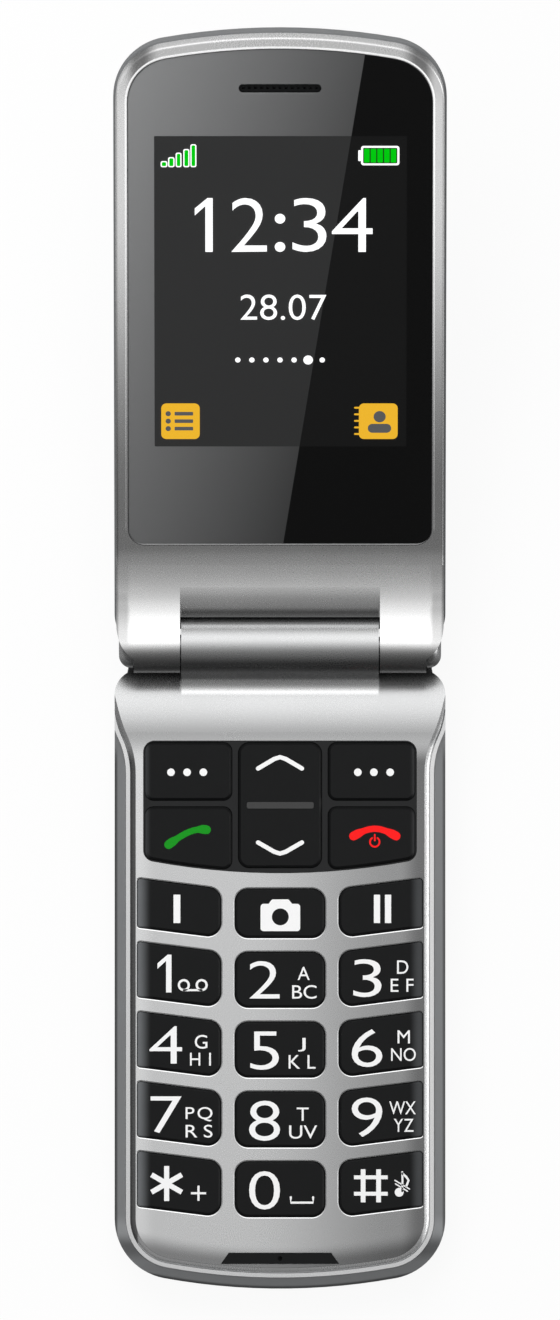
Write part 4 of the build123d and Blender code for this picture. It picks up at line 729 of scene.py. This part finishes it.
def plate(x0: float, y0: float, x1: float, y1: float, radius: float, steps: int = 6) -> Loop:
    """Rectangle with rounded corners."""
    return rounded([(x0, y0), (x1, y0), (x1, y1), (x0, y1)], [radius] * 4, steps)


def arc(x: float, y: float, radius: float, start: float, end: float, steps: int = 24) -> np.ndarray:
    """Points on a circle between two angles in degrees: centre + radius (cos t, sin t)."""
    t = np.radians(np.linspace(start, end, steps))
    return np.column_stack([x + radius * np.cos(t), y + radius * np.sin(t)])


def disc(x: float, y: float, radius: float, steps: int = 28) -> Loop:
    """Full circle."""
    return arc(x, y, radius, 0, 360, steps + 1)[:-1]


def stroke(points: Sequence[Point], width: float | np.ndarray, steps: int = 7) -> Loop:
    """Outline of a line drawn with a round pen, along points at least a width apart or gently curved.

    Each side is the line offset by half the width along its normal, and each end a half circle.

    Args:
        points: The middle of the line.
        width: Width of the pen, for all points or for each.
        steps: Points on each half circle.

    Returns:
        The outline.
    """
    line = np.array(points, float)
    half = np.broadcast_to(np.asarray(width, float) / 2, len(line))
    ahead = unit(np.gradient(line, axis=0))
    normal = ahead[:, ::-1] * (-1, 1)
    right, left = line - normal * half[:, None], line + normal * half[:, None]
    turn = np.linspace(-math.pi / 2, math.pi / 2, steps)[1:-1, None]
    cap_end = line[-1] + half[-1] * (ahead[-1] * np.cos(turn) + normal[-1] * np.sin(turn))
    cap_start = line[0] - half[0] * (ahead[0] * np.cos(turn) + normal[0] * np.sin(turn))
    return np.vstack([right, cap_end, left[::-1], cap_start])


def figure_one(x0: float, y0: float, x1: float, y1: float, pen: float) -> Loop:
    """The figure 1 without a foot: an upright stem at the right and a slanting flag.

    Args:
        x0: Left side of its box.
        y0: Lower side.
        x1: Right side.
        y1: Upper side.
        pen: Width of the stem.

    Returns:
        The outline.
    """
    low = y1 - (x1 - x0) * 0.62
    return np.array([(x1 - pen, y0), (x1, y0), (x1, y1), (x1 - 0.72 * pen, y1), (x0, low),
                     (x0, low - pen), (x1 - pen, y1 - 1.15 * pen)])


def spokes(x: float, y: float, reach: float, width: float, arms: int, start: float) -> Loop:
    """Star of straight arms: two tip corners each, and a corner at width / 2 / sin(pi / arms) between arms.

    Args:
        x: Its centre.
        y: Its centre.
        reach: Length of an arm.
        width: Width of an arm.
        arms: How many arms.
        start: Angle of the first arm, in degrees.

    Returns:
        The outline.
    """
    step = 2 * math.pi / arms
    middle = math.radians(start) + step * np.arange(arms)
    tip, far = math.atan2(width / 2, reach), math.hypot(width / 2, reach)
    angle = np.stack([middle - tip, middle + tip, middle + step / 2], axis=1).ravel()
    radius = np.tile([far, far, width / 2 / math.sin(math.pi / arms)], arms)
    return np.column_stack([x + radius * np.cos(angle), y + radius * np.sin(angle)])


def curve_shell(curve: bpy.types.Curve, bottom: float, top: float) -> Shell:
    """A flat curve's filled mesh as an upright plate. The curve is removed.

    Args:
        curve: The curve or text.
        bottom: Height of the underside.
        top: Height of the upper side.

    Returns:
        The plate.
    """
    curve.extrude = (top - bottom) / 2
    holder = bpy.data.objects.new("holder", curve)
    mesh = bpy.data.meshes.new_from_object(holder)
    points = np.empty(len(mesh.vertices) * 3, np.float32)
    corners = np.empty(len(mesh.loops), np.int32)
    sizes = np.empty(len(mesh.polygons), np.int32)
    mesh.vertices.foreach_get("co", points)
    mesh.loops.foreach_get("vertex_index", corners)
    mesh.polygons.foreach_get("loop_total", sizes)
    bpy.data.objects.remove(holder)
    bpy.data.curves.remove(curve)
    bpy.data.meshes.remove(mesh)
    return Shell(points.reshape(-1, 3).astype(float) + (0, 0, (bottom + top) / 2), corners, sizes)


def flat_shell(loops: Iterable[Loop], bottom: float, top: float) -> Shell:
    """Thin upright plate, filled between its loops, which may be holes in each other.

    Args:
        loops: The loops.
        bottom: Height of the underside.
        top: Height of the upper side.

    Returns:
        The plate.
    """
    curve = bpy.data.curves.new("flat", "CURVE")
    curve.dimensions, curve.fill_mode = "2D", "BOTH"
    for loop in loops:
        spline = curve.splines.new("POLY")
        spline.points.add(len(loop) - 1)
        rows = np.column_stack([loop, np.zeros(len(loop)), np.ones(len(loop))])
        spline.points.foreach_set("co", rows.ravel())
        spline.use_cyclic_u = True
    return curve_shell(curve, bottom, top)


@dataclass(frozen=True)
class Glyphs:
    """Characters that fill a box in the plane."""

    text: str
    x0: float
    y0: float
    x1: float
    y1: float
    weight: float = 0.0
    spacing: float = 1.0

    def shell(self, bottom: float, top: float) -> Shell:
        """Thin plate in the shape of the characters.

        Args:
            bottom: Height of the underside.
            top: Height of the upper side.

        Returns:
            The plate.
        """
        curve = bpy.data.curves.new("glyphs", "FONT")
        curve.body = self.text
        curve.resolution_u = 5
        curve.offset = self.weight
        curve.space_character = self.spacing
        made = curve_shell(curve, bottom, top)
        low, high = made.points[:, :2].min(axis=0), made.points[:, :2].max(axis=0)
        size = np.array([self.x1 - self.x0, self.y1 - self.y0])
        made.points[:, :2] = (made.points[:, :2] - low) / (high - low) * size + (self.x0, self.y0)
        return made


def figure(text: str, x0: float, y0: float, x1: float, y1: float) -> Glyphs:
    """A large figure, a little lighter in stroke than the letters."""
    return Glyphs(text, x0, y0, x1, y1, weight=-0.008)


def printed(plates: Iterable[Iterable[Loop]], glyphs: Iterable[Glyphs], bottom: float, top: float) -> Shell:
    """Plates and characters between two heights, as one shell."""
    shells = [flat_shell(loops, bottom, top) for loops in plates]
    return Shell.joined(shells + [item.shell(bottom, top) for item in glyphs])


# ---- Keys ----
@dataclass(frozen=True)
class KeyGrid:
    """Sizes of the key field, as in the frame."""

    column: float = 9.29
    side_width: float = 13.1
    side_rise: float = 1.65
    centre_width: float = 14.1
    height: float = 8.65
    pitch: float = 10.97
    number_start: float = 48.05
    memory_start: float = 38.1
    memory_height: float = 7.65
    inner_radius: float = 2.05
    outer_radius: float = 0.5

    def side_loop(self, side: int, start: float, height: float, grow: float) -> Loop:
        """Outline of a key in an outer column, whose ends rise by side_rise over side_width.

        Args:
            side: -1 for the left column and 1 for the right one.
            start: Where the key starts, from the hinge.
            height: Its height.
            grow: How much larger the outline is on every side.

        Returns:
            The outline.
        """
        slope = self.side_rise / self.side_width
        shift = grow * math.hypot(1, slope)
        inner, outer = self.column - grow, self.column + self.side_width + grow
        near, far = start - shift, start + height + shift
        corners = [(x, HINGE_Y - v + (x - self.column) * slope)
                   for x, v in ((inner, far), (outer, far), (outer, near), (inner, near))]
        radii = [radius + grow for radius in
                 (self.inner_radius, self.outer_radius, self.outer_radius, self.inner_radius)]
        loop = rounded(corners, radii)
        return loop if side > 0 else (loop * (-1, 1))[::-1]

    def centre_loop(self, start: float, height: float, grow: float) -> Loop:
        """Outline of a key in the middle column."""
        half, top = self.centre_width / 2 + grow, HINGE_Y - start + grow
        return plate(-half, top - height - 2 * grow, half, top, self.inner_radius + grow, 10)

    def loops(self, grow: float) -> list[Loop]:
        """Every key's outline.

        Args:
            grow: How much larger the outlines are on every side.

        Returns:
            The outlines.
        """
        rows = [(self.memory_start, self.memory_height)]
        rows += [(self.number_start + row * self.pitch, self.height) for row in range(4)]
        found = []
        for row in rows:
            found += [self.side_loop(-1, *row, grow), self.centre_loop(*row, grow),
                      self.side_loop(1, *row, grow)]
        return found


LEGENDS: dict[str, tuple[Glyphs, ...]] = {
    "key_2": (figure("2", -4.86, -4.86, -0.06, 1.05), Glyphs("A", 2.77, -1.91, 4.67, 0.15),
              Glyphs("BC", 1.91, -4.86, 5.75, -2.72)),
    "key_3": (figure("3", 11.52, -4.6, 15.94, 1.34), Glyphs("D", 18.39, -0.94, 20.16, 1.16),
              Glyphs("EF", 17.39, -3.77, 20.98, -1.72, spacing=1.6)),
    "key_4": (figure("4", -20.51, -15.05, -15.39, -9.18), Glyphs("G", -13.39, -12.71, -11.41, -10.55),
              Glyphs("HI", -14.14, -15.37, -10.86, -13.35, spacing=1.7)),
    "key_5": (figure("5", -4.67, -16.02, -0.17, -10.01), Glyphs("J", 2.81, -13.15, 4.03, -11.02),
              Glyphs("KL", 1.36, -15.85, 5.58, -13.71, spacing=1.6)),
    "key_6": (figure("6", 11.27, -15.59, 16.08, -9.65), Glyphs("M", 18.47, -11.88, 20.41, -9.83),
              Glyphs("NO", 17.46, -14.65, 21.34, -12.6)),
    "key_7": (figure("7", -20.33, -25.96, -15.47, -20.2),
              Glyphs("PQ", -14.83, -24.14, -10.61, -21.88, spacing=1.2),
              Glyphs("RS", -14.83, -26.68, -10.61, -24.66, spacing=1.5)),
    "key_8": (figure("8", -4.86, -27.18, 0.0, -20.88), Glyphs("T", 2.63, -24.04, 4.5, -21.96),
              Glyphs("UV", 1.44, -26.85, 5.83, -24.77)),
    "key_9": (figure("9", 11.27, -26.57, 16.08, -20.38), Glyphs("WX", 17.17, -23.04, 21.34, -20.99),
              Glyphs("YZ", 17.89, -25.77, 20.98, -23.73, spacing=1.1)),
    "key_0": (figure("0", -4.86, -37.98, 0.0, -31.96),),
}


def mark_loops() -> dict[str, list[list[Loop]]]:
    """The drawn marks of each key: a list of plates, each a list of loops.

    Returns:
        Plates by the name of the key that carries them.
    """
    rails = [plate(x - 0.37, -36.85, x + 0.37, -31.66, 0.02) for x in (13.06, 15.49)]
    for low in (-35.8, -33.22):
        rails += [plate(x0, low, x1, low + 0.6, 0.02)
                  for x0, x1 in ((11.63, 12.69), (13.43, 15.12), (15.86, 16.92))]
    note = [disc(18.73, -35.27, 0.7), stroke([(19.2, -35.1), (19.25, -33.6), (19.2, -32.1)], 0.3),
            stroke([(19.2, -32.3), (19.8, -32.8), (20.2, -33.4), (19.85, -34.3)], 0.34),
            stroke([(18.06, -33.4), (20.33, -34.75)], 0.2), stroke([(18.15, -33.95), (20.03, -35.1)], 0.2)]
    spool = [[disc(x, -2.72, 0.95), disc(x, -2.72, 0.6)] for x in (-15.11, -12.31)]
    camera_body = rounded(
        [(-3.06, 5.76), (3.17, 5.76), (3.17, 10.05), (1.9, 10.05), (1.35, 10.75), (-1.25, 10.75),
         (-1.8, 10.05), (-3.06, 10.05)], [0.5, 0.5, 0.5, 0.002, 0.4, 0.4, 0.002, 0.5])
    return {
        "key_memory_1": [[plate(-16.73, 7.03, -15.66, 11.48, 0.05)]],
        "key_memory_2": [[plate(14.75, 7.03, 15.72, 11.48, 0.05)], [plate(16.49, 7.03, 17.46, 11.48, 0.05)]],
        "key_camera": [[camera_body, disc(0.05, 8.0, 1.33)]],
        "key_1": [*spool, [stroke([(-15.11, -3.51), (-12.31, -3.51)], 0.33)],
                  [figure_one(-19.25, -3.88, -17.05, 2.06, 0.85)]],
        "key_star": [[spokes(-17.81, -33.89, 2.75, 0.8, 6, 30.0)],
                     [spokes(-12.81, -35.42, 1.19, 0.33, 4, 0.0)]],
        "key_0": [[stroke([(1.7, -36.05), (1.7, -36.9), (5.2, -36.9), (5.2, -36.05)], 0.34)]],
        "key_hash": [[loop] for loop in rails + note],
        "left_soft_key": [[disc(x, 30.72, 0.6)] for x in (-17.13, -14.6, -12.04)],
        "right_soft_key": [[disc(x, 30.72, 0.6)] for x in (12.23, 14.75, 17.31)],
    }


@dataclass
class Keypad:
    """Printed legends of the keys, and the bright edges of their openings."""

    grid: KeyGrid = field(default_factory=KeyGrid)
    edge_offset: float = 0.14
    edge_width: float = 0.13
    edge_rise: float = 0.06
    edge_drop: float = -0.02

    def edges(self) -> Piece:
        """Bright edges of the key openings, sloping down to the keys, but none at the face's sides.

        Returns:
            The edges, as one piece.
        """
        shells = []
        for loop in self.grid.loops(self.edge_offset):
            rise = np.where(abs(loop[:, 0]) > FACE_SIDE_X, self.edge_drop, self.edge_rise)
            shells.append(lip(loop, self.edge_width, rise, FACE_Z))
        return Shell.joined(shells).piece("key_opening_edges", Paint.TRIM, Body.BASE, "bright_trim", 20.0)

    @staticmethod
    def mark(name: str, finish: Finish, key: str, plates: Iterable[Iterable[Loop]],
             glyphs: Iterable[Glyphs] = ()) -> Piece:
        """Print on a key's top, riding on the key."""
        return printed(plates, glyphs, KEY_TOP, KEY_TOP + PRINT_DEPTH).piece(name, finish, key, smooth=None)

    def legends(self) -> list[Piece]:
        """White print on each key.

        Returns:
            One legend for each key.
        """
        drawn = mark_loops()
        return [self.mark(f"legend_{key}", Paint.WHITE_INK, key, drawn.get(key, ()), LEGENDS.get(key, ()))
                for key in sorted(set(LEGENDS) | set(drawn))]

    def rocker_marks(self) -> list[Piece]:
        """Two chevrons and the ridge between them, on the up and down rocker.

        Returns:
            The chevrons and the ridge.
        """
        chevrons = []
        for tip, ends in ((33.1, 31.31), (17.95, 19.69)):
            near = tip - (tip - ends) * 0.16
            bend = [(-3.45, ends), (-0.9, near), (0.0, tip), (0.9, near), (3.45, ends)]
            chevrons.append([stroke(bend, 0.68)])
        ridge = flat_shell([plate(-5.22, 25.02, 5.3, 26.04, 0.3)], KEY_TOP, KEY_TOP + RIDGE_HEIGHT)
        return [self.mark("legend_rocker", Paint.WHITE_INK, "nav_rocker", chevrons),
                ridge.piece("rocker_ridge", Paint.GREY_INK, "nav_rocker", "black_key")]

    def handsets(self) -> list[Piece]:
        """Green and red handsets on the call key and the end key, with the power sign under the red one.

        Returns:
            The two legends.
        """
        t = np.linspace(0, 1, 25)
        lobes = 0.98 + 0.4 * np.clip((np.abs(t - 0.5) - 0.27) / 0.12, 0, 1)
        green = np.column_stack([-17.5 + 5.95 * t, 19.35 + 2.4 * np.sin(math.pi / 1.75 * t)])
        red = np.column_stack([11.55 + 6.7 * t, 20.7 + 1.15 * np.sin(math.pi * t)])
        power = [[stroke(arc(14.89, 19.77, 0.75, 125, 415), 0.28)],
                 [stroke([(14.89, 20.0), (14.89, 20.9)], 0.28)]]
        return [self.mark("legend_call", Paint.GREEN_INK, "call_key", [[stroke(green, lobes)]]),
                self.mark("legend_end", Paint.RED_INK, "end_key", [[stroke(red, lobes)], *power])]

    def build(self) -> list[Piece]:
        """Makes every piece of the keypad."""
        return [self.edges(), *self.legends(), *self.rocker_marks(), *self.handsets()]


# ---- Lid ----
def lid_matrix() -> np.ndarray:
    """Carries (x, v, h) of the lid laid flat to its place at rest: a turn by the lean about the hinge."""
    return np.array(Matrix.Translation((0, HINGE_Y, HINGE_Z)) @ Matrix.Rotation(OPEN_LEAN, 4, "X"))


@dataclass
class DisplayPicture:
    """Window print and screen with a painted reflection across them, and the lit picture on the screen, all
    behind the clear window.

    Heights are in the lid's own frame, from the hinge plane. The lit picture is squeezed towards
    `squeeze_from` by `squeeze`, as the panel's pixels are a little less than square.
    """

    back: float = -0.46
    step: float = 0.012
    half_width: float = 23.75
    start: float = 16.85
    start_radius: float = 2.55
    far_radius: float = 7.25
    far: float = 98.75
    crown: float = 99.25
    screen: Box = (-19.63, 32.6, 19.78, 84.45)
    slot: Box = (-6.45, 91.6, 6.45, 93.0)
    squeeze: float = 0.989
    squeeze_from: float = 84.0

    def outline(self) -> Loop:
        """Window outline: straight sides, rounded start corners and a crowned far end.

        Returns:
            The outline.
        """
        centre_v = self.far - self.crown
        corner_x = self.half_width - self.far_radius
        corner_v = centre_v + math.sqrt((self.crown - self.far_radius) ** 2 - corner_x ** 2)
        turn = math.degrees(math.atan2(corner_v - centre_v, corner_x))
        right = arc(corner_x, corner_v, self.far_radius, 0, turn, 14)
        end = arc(0, centre_v, self.crown, turn, 180 - turn, 40)
        low = plate(-self.half_width, self.start, self.half_width, self.start + 20, self.start_radius, 10)
        low = low[low[:, 1] < self.start + self.start_radius + 0.01]
        return np.vstack([low[low[:, 0] < 0], low[low[:, 0] > 0], right, end[1:-1], right[::-1] * (-1, 1)])

    def rim(self) -> list[Piece]:
        """Dark seal in the gap round the window, and a fine line outside it, white as a painted highlight,
        that darkens and ends near the hinge.

        Returns:
            The seal and the line.
        """
        seal = lip(self.outline(), 0.16, 0.0, -0.26).placed(lid_matrix())
        loop = self.outline() * (1.007, 1.0) + (0.0, 0.17)
        floor = np.interp(loop[:, 1], (self.start + 1, self.start + 4), (-0.35, -0.25))
        line = lip(loop, 0.28, 0.06, floor).placed(lid_matrix())
        return [seal.piece("window_seal", Paint.BLACK, Body.LID, "module_black", 20.0),
                line.piece("window_rim", Paint.RIM_HIGHLIGHT, Body.LID, "bright_trim", 20.0)]

    def mark(self, name: str, finish: Finish, layer: int, plates: Iterable[Iterable[Loop]],
             glyphs: Iterable[Glyphs] = ()) -> Piece:
        """One lit or printed piece on a layer.

        Args:
            name: The piece's name.
            finish: Its finish.
            layer: Which layer behind the window it lies on.
            plates: Lists of loops, each list filled as one plate.
            glyphs: Characters on the same layer.

        Returns:
            The piece, riding on the lid.
        """
        low = self.back + layer * self.step * 1.5
        shell = printed(plates, glyphs, low, low + self.step)
        if layer:
            shell.points[:, 1] = self.squeeze_from + (shell.points[:, 1] - self.squeeze_from) * self.squeeze
        return shell.placed(lid_matrix()).piece(name, finish, Body.LID, "display_panel", smooth=None)

    def signal(self) -> list[Piece]:
        """Five rising columns of the signal meter, green inside a white outline.

        Returns:
            The outlines and the columns.
        """
        columns = ((-18.61, -17.56, 80.3), (-17.45, -16.44, 80.95), (-16.27, -15.35, 81.7),
                   (-15.08, -14.11, 82.3), (-13.97, -13.03, 83.1))
        outer = [plate(x0, 79.28, x1, top, 0.3) for x0, x1, top in columns]
        inner = [plate(x0 + 0.18, 79.46, x1 - 0.18, top - 0.18, 0.2) for x0, x1, top in columns]
        return [self.mark("picture_signal_frame", Paint.WHITE_LIT, 2, zip(outer, inner)),
                self.mark("picture_signal", Paint.GREEN_LIT, 2, zip(inner))]

    def charge(self) -> list[Piece]:
        """Battery meter: a white frame with its nub, and five green cells.

        Returns:
            The frame and the cells.
        """
        frame_loops = [plate(12.64, 79.6, 18.61, 82.82, 0.4), plate(12.95, 79.91, 18.3, 82.51, 0.2)]
        lefts = 13.1 + 1.04 * np.arange(5)
        return [self.mark("picture_charge_frame", Paint.WHITE_LIT, 2,
                          [frame_loops, [plate(12.2, 80.3, 12.64, 82.1, 0.12)]]),
                self.mark("picture_charge", Paint.GREEN_LIT, 2,
                          [[plate(x, 80.06, x + 0.86, 82.36, 0.1)] for x in lefts])]

    def clock(self) -> list[Piece]:
        """Time and date in figures, and a row of seven day dots with one lit larger.

        Returns:
            The time, the date and the dots.
        """
        drawn = [[disc(0.0, 70.7, 0.82)], [disc(0.0, 66.0, 0.82)],
                 [figure_one(-13.3, 65.17, -10.5, 74.14, 1.15)]]
        figures = [figure(text, x0, 65.17, x1, 74.14)
                   for text, x0, x1 in (("2", -7.6, -2.05), ("3", 1.95, 7.25), ("4", 8.1, 14.45))]
        date = Glyphs("28.07", -6.19, 53.8, 7.24, 58.04, -0.006)
        days = [[disc(x, 47.1, 0.75 if index == 5 else 0.42)]
                for index, x in enumerate(np.linspace(-6.6, 6.6, 7))]
        return [self.mark("picture_clock", Paint.WHITE_LIT, 2, drawn, figures),
                self.mark("picture_date", Paint.WHITE_LIT, 2, [], [date]),
                self.mark("picture_days", Paint.WHITE_LIT, 2, days)]

    def menu_signs(self) -> list[Piece]:
        """List sign at the left and address book sign at the right, above the soft keys.

        Returns:
            The parts of the two signs.
        """
        rows = []
        for v in (38.1, 36.85, 35.6):
            rows += [[disc(-17.5, v, 0.42)], [plate(-16.5, v - 0.3, -13.6, v + 0.3, 0.1)]]
        person = [[disc(15.6, 37.6, 0.95)], [plate(13.75, 34.9, 17.4, 36.4, 0.7)]]
        rings = [[stroke([(11.75, v), (12.75, v)], 0.3)] for v in (34.7, 35.8, 36.9, 38.0, 39.1)]
        return [self.mark("picture_list", Paint.YELLOW_LIT, 2, [[plate(-18.59, 33.85, -12.57, 39.82, 0.8)]]),
                self.mark("picture_list_rows", Paint.GREY_LIT, 3, rows),
                self.mark("picture_book", Paint.YELLOW_LIT, 2, [[plate(12.35, 33.85, 18.42, 39.82, 0.8)]]),
                self.mark("picture_person", Paint.GREY_LIT, 3, person),
                self.mark("picture_book_rings", Paint.YELLOW_LIT, 3, rings)]

    def build(self) -> list[Piece]:
        """Makes every piece behind the window.

        Returns:
            The pieces.
        """
        made = [self.mark("window_print_and_sheen", Paint.WINDOW_INK, 0, [[self.outline(), plate(*self.slot, 0.69)]]),
                self.mark("screen_area", Paint.SCREEN, 1, [[plate(*self.screen, 0.15)]])]
        return made + self.rim() + self.signal() + self.charge() + self.clock() + self.menu_signs()


@dataclass
class OuterFace:
    """Bright rings round the camera and the outer window, and the camera's lens, on the lid's back."""

    depth: float = 8.6
    camera_v: float = 30.0
    camera_radius: float = 4.45
    inner_radius: float = 2.1
    lens_radius: float = 1.5
    lens_rise: float = 0.25
    lens_lift: float = 0.01
    window: Box = (-16.05, 43.95, 16.05, 80.05)
    window_radius: float = 3.05

    def dome(self) -> Shell:
        """Lens: a cap whose height is rise (1 - (r / radius)^2).

        Returns:
            The cap.
        """
        u, r = np.meshgrid(np.linspace(0, 2 * math.pi, 40, endpoint=False),
                           np.linspace(1, 0.02, 9), indexing="ij")
        points = np.stack([self.lens_radius * r * np.cos(u), self.camera_v + self.lens_radius * r * np.sin(u),
                           self.lens_rise * (1 - r ** 2) + self.lens_lift], axis=-1)
        return grid_shell(points, True, False)

    def build(self) -> list[Piece]:
        """Makes the pieces, and carries them from (x, v, height over the lid's back) to the lid at rest.

        Returns:
            The pieces.
        """
        rings = Shell.joined([lip(disc(0, self.camera_v, self.camera_radius, 72), 0.5, 0.1, 0.0),
                              lip(disc(0, self.camera_v, self.inner_radius, 48), 0.35, 0.06, 0.0)])
        edge = lip(plate(*self.window, self.window_radius, 12), 0.35, 0.06, 0.0)
        turn = Matrix.Translation((0, 0, -self.depth)) @ Matrix.Rotation(math.pi, 4, "Y")
        matrix = lid_matrix() @ np.array(turn)
        return [rings.placed(matrix).piece("camera_rings", Paint.TRIM, Body.LID, "bright_trim"),
                edge.placed(matrix).piece("outer_window_rim", Paint.TRIM, Body.LID, "bright_trim"),
                self.dome().placed(matrix).piece("camera_lens", Paint.LENS, Body.LID, "window_glass")]


# ---- Studio ----
@dataclass
class Studio:
    """Pale floor, soft light and the camera straight above. Lengths are in metres."""

    frame_height: float = 0.2074
    lens: float = 600.0
    sensor: float = 36.0
    aim_y: float = 0.04836
    aim_z: float = 0.010
    floor_half: float = 3.0
    floor_white: float = 0.92
    floor_gloss: float = 0.2
    tent_radius: float = 1.6
    tent_lean: float = 37.0
    tent_width: float = 36.0
    tent_peak: float = 1.55
    tent_rest: float = 0.06
    side_lean: float = 15.0
    side_width: float = 20.0
    side_peak: float = 3.0
    sky: float = 0.5

    @staticmethod
    def stage(points: np.ndarray, round_u: bool, sheet: NodeSheet, shader: Node) -> Piece:
        """Puts up a grid of points as an object that isn't part of the phone.

        Args:
            points: The grid.
            round_u: Whether its last row joins the first.
            sheet: The node tree of its material, whose name it takes.
            shader: The material's last shader.

        Returns:
            The new object.
        """
        shell = grid_shell(points, round_u, False)
        mesh = bpy.data.meshes.new(sheet.owner.name)
        mesh.from_pydata(shell.points.tolist(), [], shell.corners.reshape(-1, 4).tolist())
        mesh.materials.append(sheet.finish(shader))
        made = bpy.data.objects.new(mesh.name, mesh)
        bpy.context.scene.collection.objects.link(made)
        return made

    def floor(self) -> None:
        """Plain floor, pale to the camera and in reflections, and a diffuse surface that keeps the shadow."""
        steps = np.linspace(-self.floor_half, self.floor_half, 3)
        x, y = np.meshgrid(steps, steps, indexing="ij")
        sheet = NodeSheet(bpy.data.materials.new("studio_floor"))
        lit = sheet.add("BsdfDiffuse", {"Color": sheet.tone((0.8, 0.8, 0.8), 0.01, sheet.noise(60.0))})
        glossy = sheet.add("LightPath").outputs["Is Glossy Ray"]
        white = sheet.add("Emission", {
            "Color": WHITE, "Strength": sheet.ranged(glossy, 0.0, 1.0, 1.0, self.floor_gloss)})
        share = sheet.calc("MULTIPLY", sheet.seen(), self.floor_white)
        mix = sheet.add("MixShader", {0: share, 1: lit.outputs[0], 2: white.outputs[0]})
        self.stage(np.stack([x, y, np.zeros_like(x)], axis=-1), False, sheet, mix)

    def tent(self) -> None:
        """Light tent round the object that only reflections see.

        glow = rest + peak exp(-(angle / width)^2), with the angle from a direction that leans from
        the vertical towards +Y, and a second low patch of the same form at +X.
        """
        u, v = np.meshgrid(np.linspace(0, 2 * math.pi, 64, endpoint=False),
                           np.linspace(0.02, math.pi / 2 + 0.02, 24), indexing="ij")
        ball = np.stack([np.cos(u) * np.sin(v), np.sin(u) * np.sin(v), np.cos(v)], axis=-1)
        sheet = NodeSheet(bpy.data.materials.new("studio_tent"))
        lean, low = math.radians(self.tent_lean), math.radians(self.side_lean)
        glow = sheet.calc("ADD", self.tent_rest, self.patch(
            sheet, (0.0, math.sin(lean), math.cos(lean)), self.tent_peak, self.tent_width))
        glow = sheet.calc("ADD", glow, self.patch(
            sheet, (math.cos(low), 0.0, math.sin(low)), self.side_peak, self.side_width))
        emission = sheet.add("Emission", {"Color": WHITE, "Strength": glow})
        made = self.stage(ball * self.tent_radius, True, sheet, emission)
        for kind in ("camera", "diffuse", "transmission", "volume_scatter", "shadow"):
            setattr(made, f"visible_{kind}", False)

    @staticmethod
    def patch(sheet: NodeSheet, towards: Colour, peak: float, width: float) -> Socket:
        """Bell-shaped glow round a direction.

        Args:
            sheet: The node tree that it is made in.
            towards: The patch's middle direction.
            peak: Its brightness in the middle.
            width: The angle in degrees at which it has fallen to 1 / e.

        Returns:
            The glow.
        """
        away = sheet.add("VectorMath", {0: sheet.place}, operation="NORMALIZE").outputs[0]
        cosine = sheet.add("VectorMath", {0: away, 1: towards}, operation="DOT_PRODUCT").outputs["Value"]
        angle = sheet.calc("ARCCOSINE", sheet.calc("MINIMUM", cosine, 0.9999))
        share = sheet.calc("DIVIDE", angle, math.radians(width))
        fall = sheet.product((share, share, -1.0))
        return sheet.calc("MULTIPLY", sheet.calc("EXPONENT", fall), peak)

    def world(self) -> None:
        """White to the camera and in reflections, and a plain grey sky for everything else."""
        sheet = NodeSheet(bpy.data.worlds.new("studio_sky"))
        bright = sheet.ranged(sheet.seen(), 0.0, 1.0, self.sky, 1.0)
        bpy.context.scene.world = sheet.finish(
            sheet.add("Background", {"Color": WHITE, "Strength": bright}), "OutputWorld")

    def lamp(self, name: str, place: Colour, aim: Colour, size: float, power: float) -> None:
        """Soft square lamp.

        Args:
            name: Its name.
            place: Where it stands.
            aim: The point that it faces.
            size: Its width and height.
            power: Its power in watts.
        """
        data = bpy.data.lights.new(name, "AREA")
        data.shape, data.size, data.energy = "SQUARE", size, power
        made = bpy.data.objects.new(name, data)
        made.visible_glossy = False
        bpy.context.scene.collection.objects.link(made)
        turn = (Vector(aim) - Vector(place)).to_track_quat("-Z", "Y")
        made.matrix_world = Matrix.Translation(place) @ turn.to_matrix().to_4x4()

    def camera(self) -> None:
        """Camera straight above, so far off with its long lens that edges stay nearly parallel."""
        data = bpy.data.cameras.new("camera")
        data.lens, data.sensor_width = self.lens, self.sensor
        distance = self.frame_height * self.lens / self.sensor
        data.clip_end = distance * 2
        made = bpy.data.objects.new("camera", data)
        made.location = (0.0, self.aim_y, self.aim_z + distance)
        bpy.context.scene.collection.objects.link(made)
        bpy.context.scene.camera = made

    def build(self) -> None:
        """Makes the studio."""
        self.floor()
        self.tent()
        self.world()
        self.lamp("key_light", (-0.10, 0.42, 0.50), (0.0, 0.05, 0.02), 0.5, 2.9)
        self.lamp("fill_light", (-0.35, -0.15, 0.55), (0.0, 0.03, 0.02), 0.4, 0.8)
        self.camera()


def dress_frame() -> int:
    """Gives every node of the frame the finish of its material slot.

    Returns:
        How many nodes were dressed.
    """
    for name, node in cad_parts.items():
        for slot in node.material_slots:
            finish = NODE_FINISH.get(name) or SLOT_FINISH[slot.material.name.split(".")[0]]
            slot.material = finish.material
    return len(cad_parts)


def report(title: str, pieces: Sequence[Piece]) -> None:
    """Logs the pieces that one sub-assembly made."""
    for piece in pieces:
        LOG.info("%s: %s, %d faces", title, piece.name, len(piece.data.polygons))


def main() -> None:
    """Builds every sub-assembly in order."""
    logging.basicConfig(level=logging.INFO, format="%(message)s")
    LOG.info("dressed %d nodes", dress_frame())
    report("keypad", Keypad().build())
    report("display", DisplayPicture().build())
    report("outer face", OuterFace().build())
    Studio().build()
    bpy.context.scene.view_settings.view_transform = "Standard"
    bpy.context.view_layer.update()


if __name__ == "__main__":
    main()
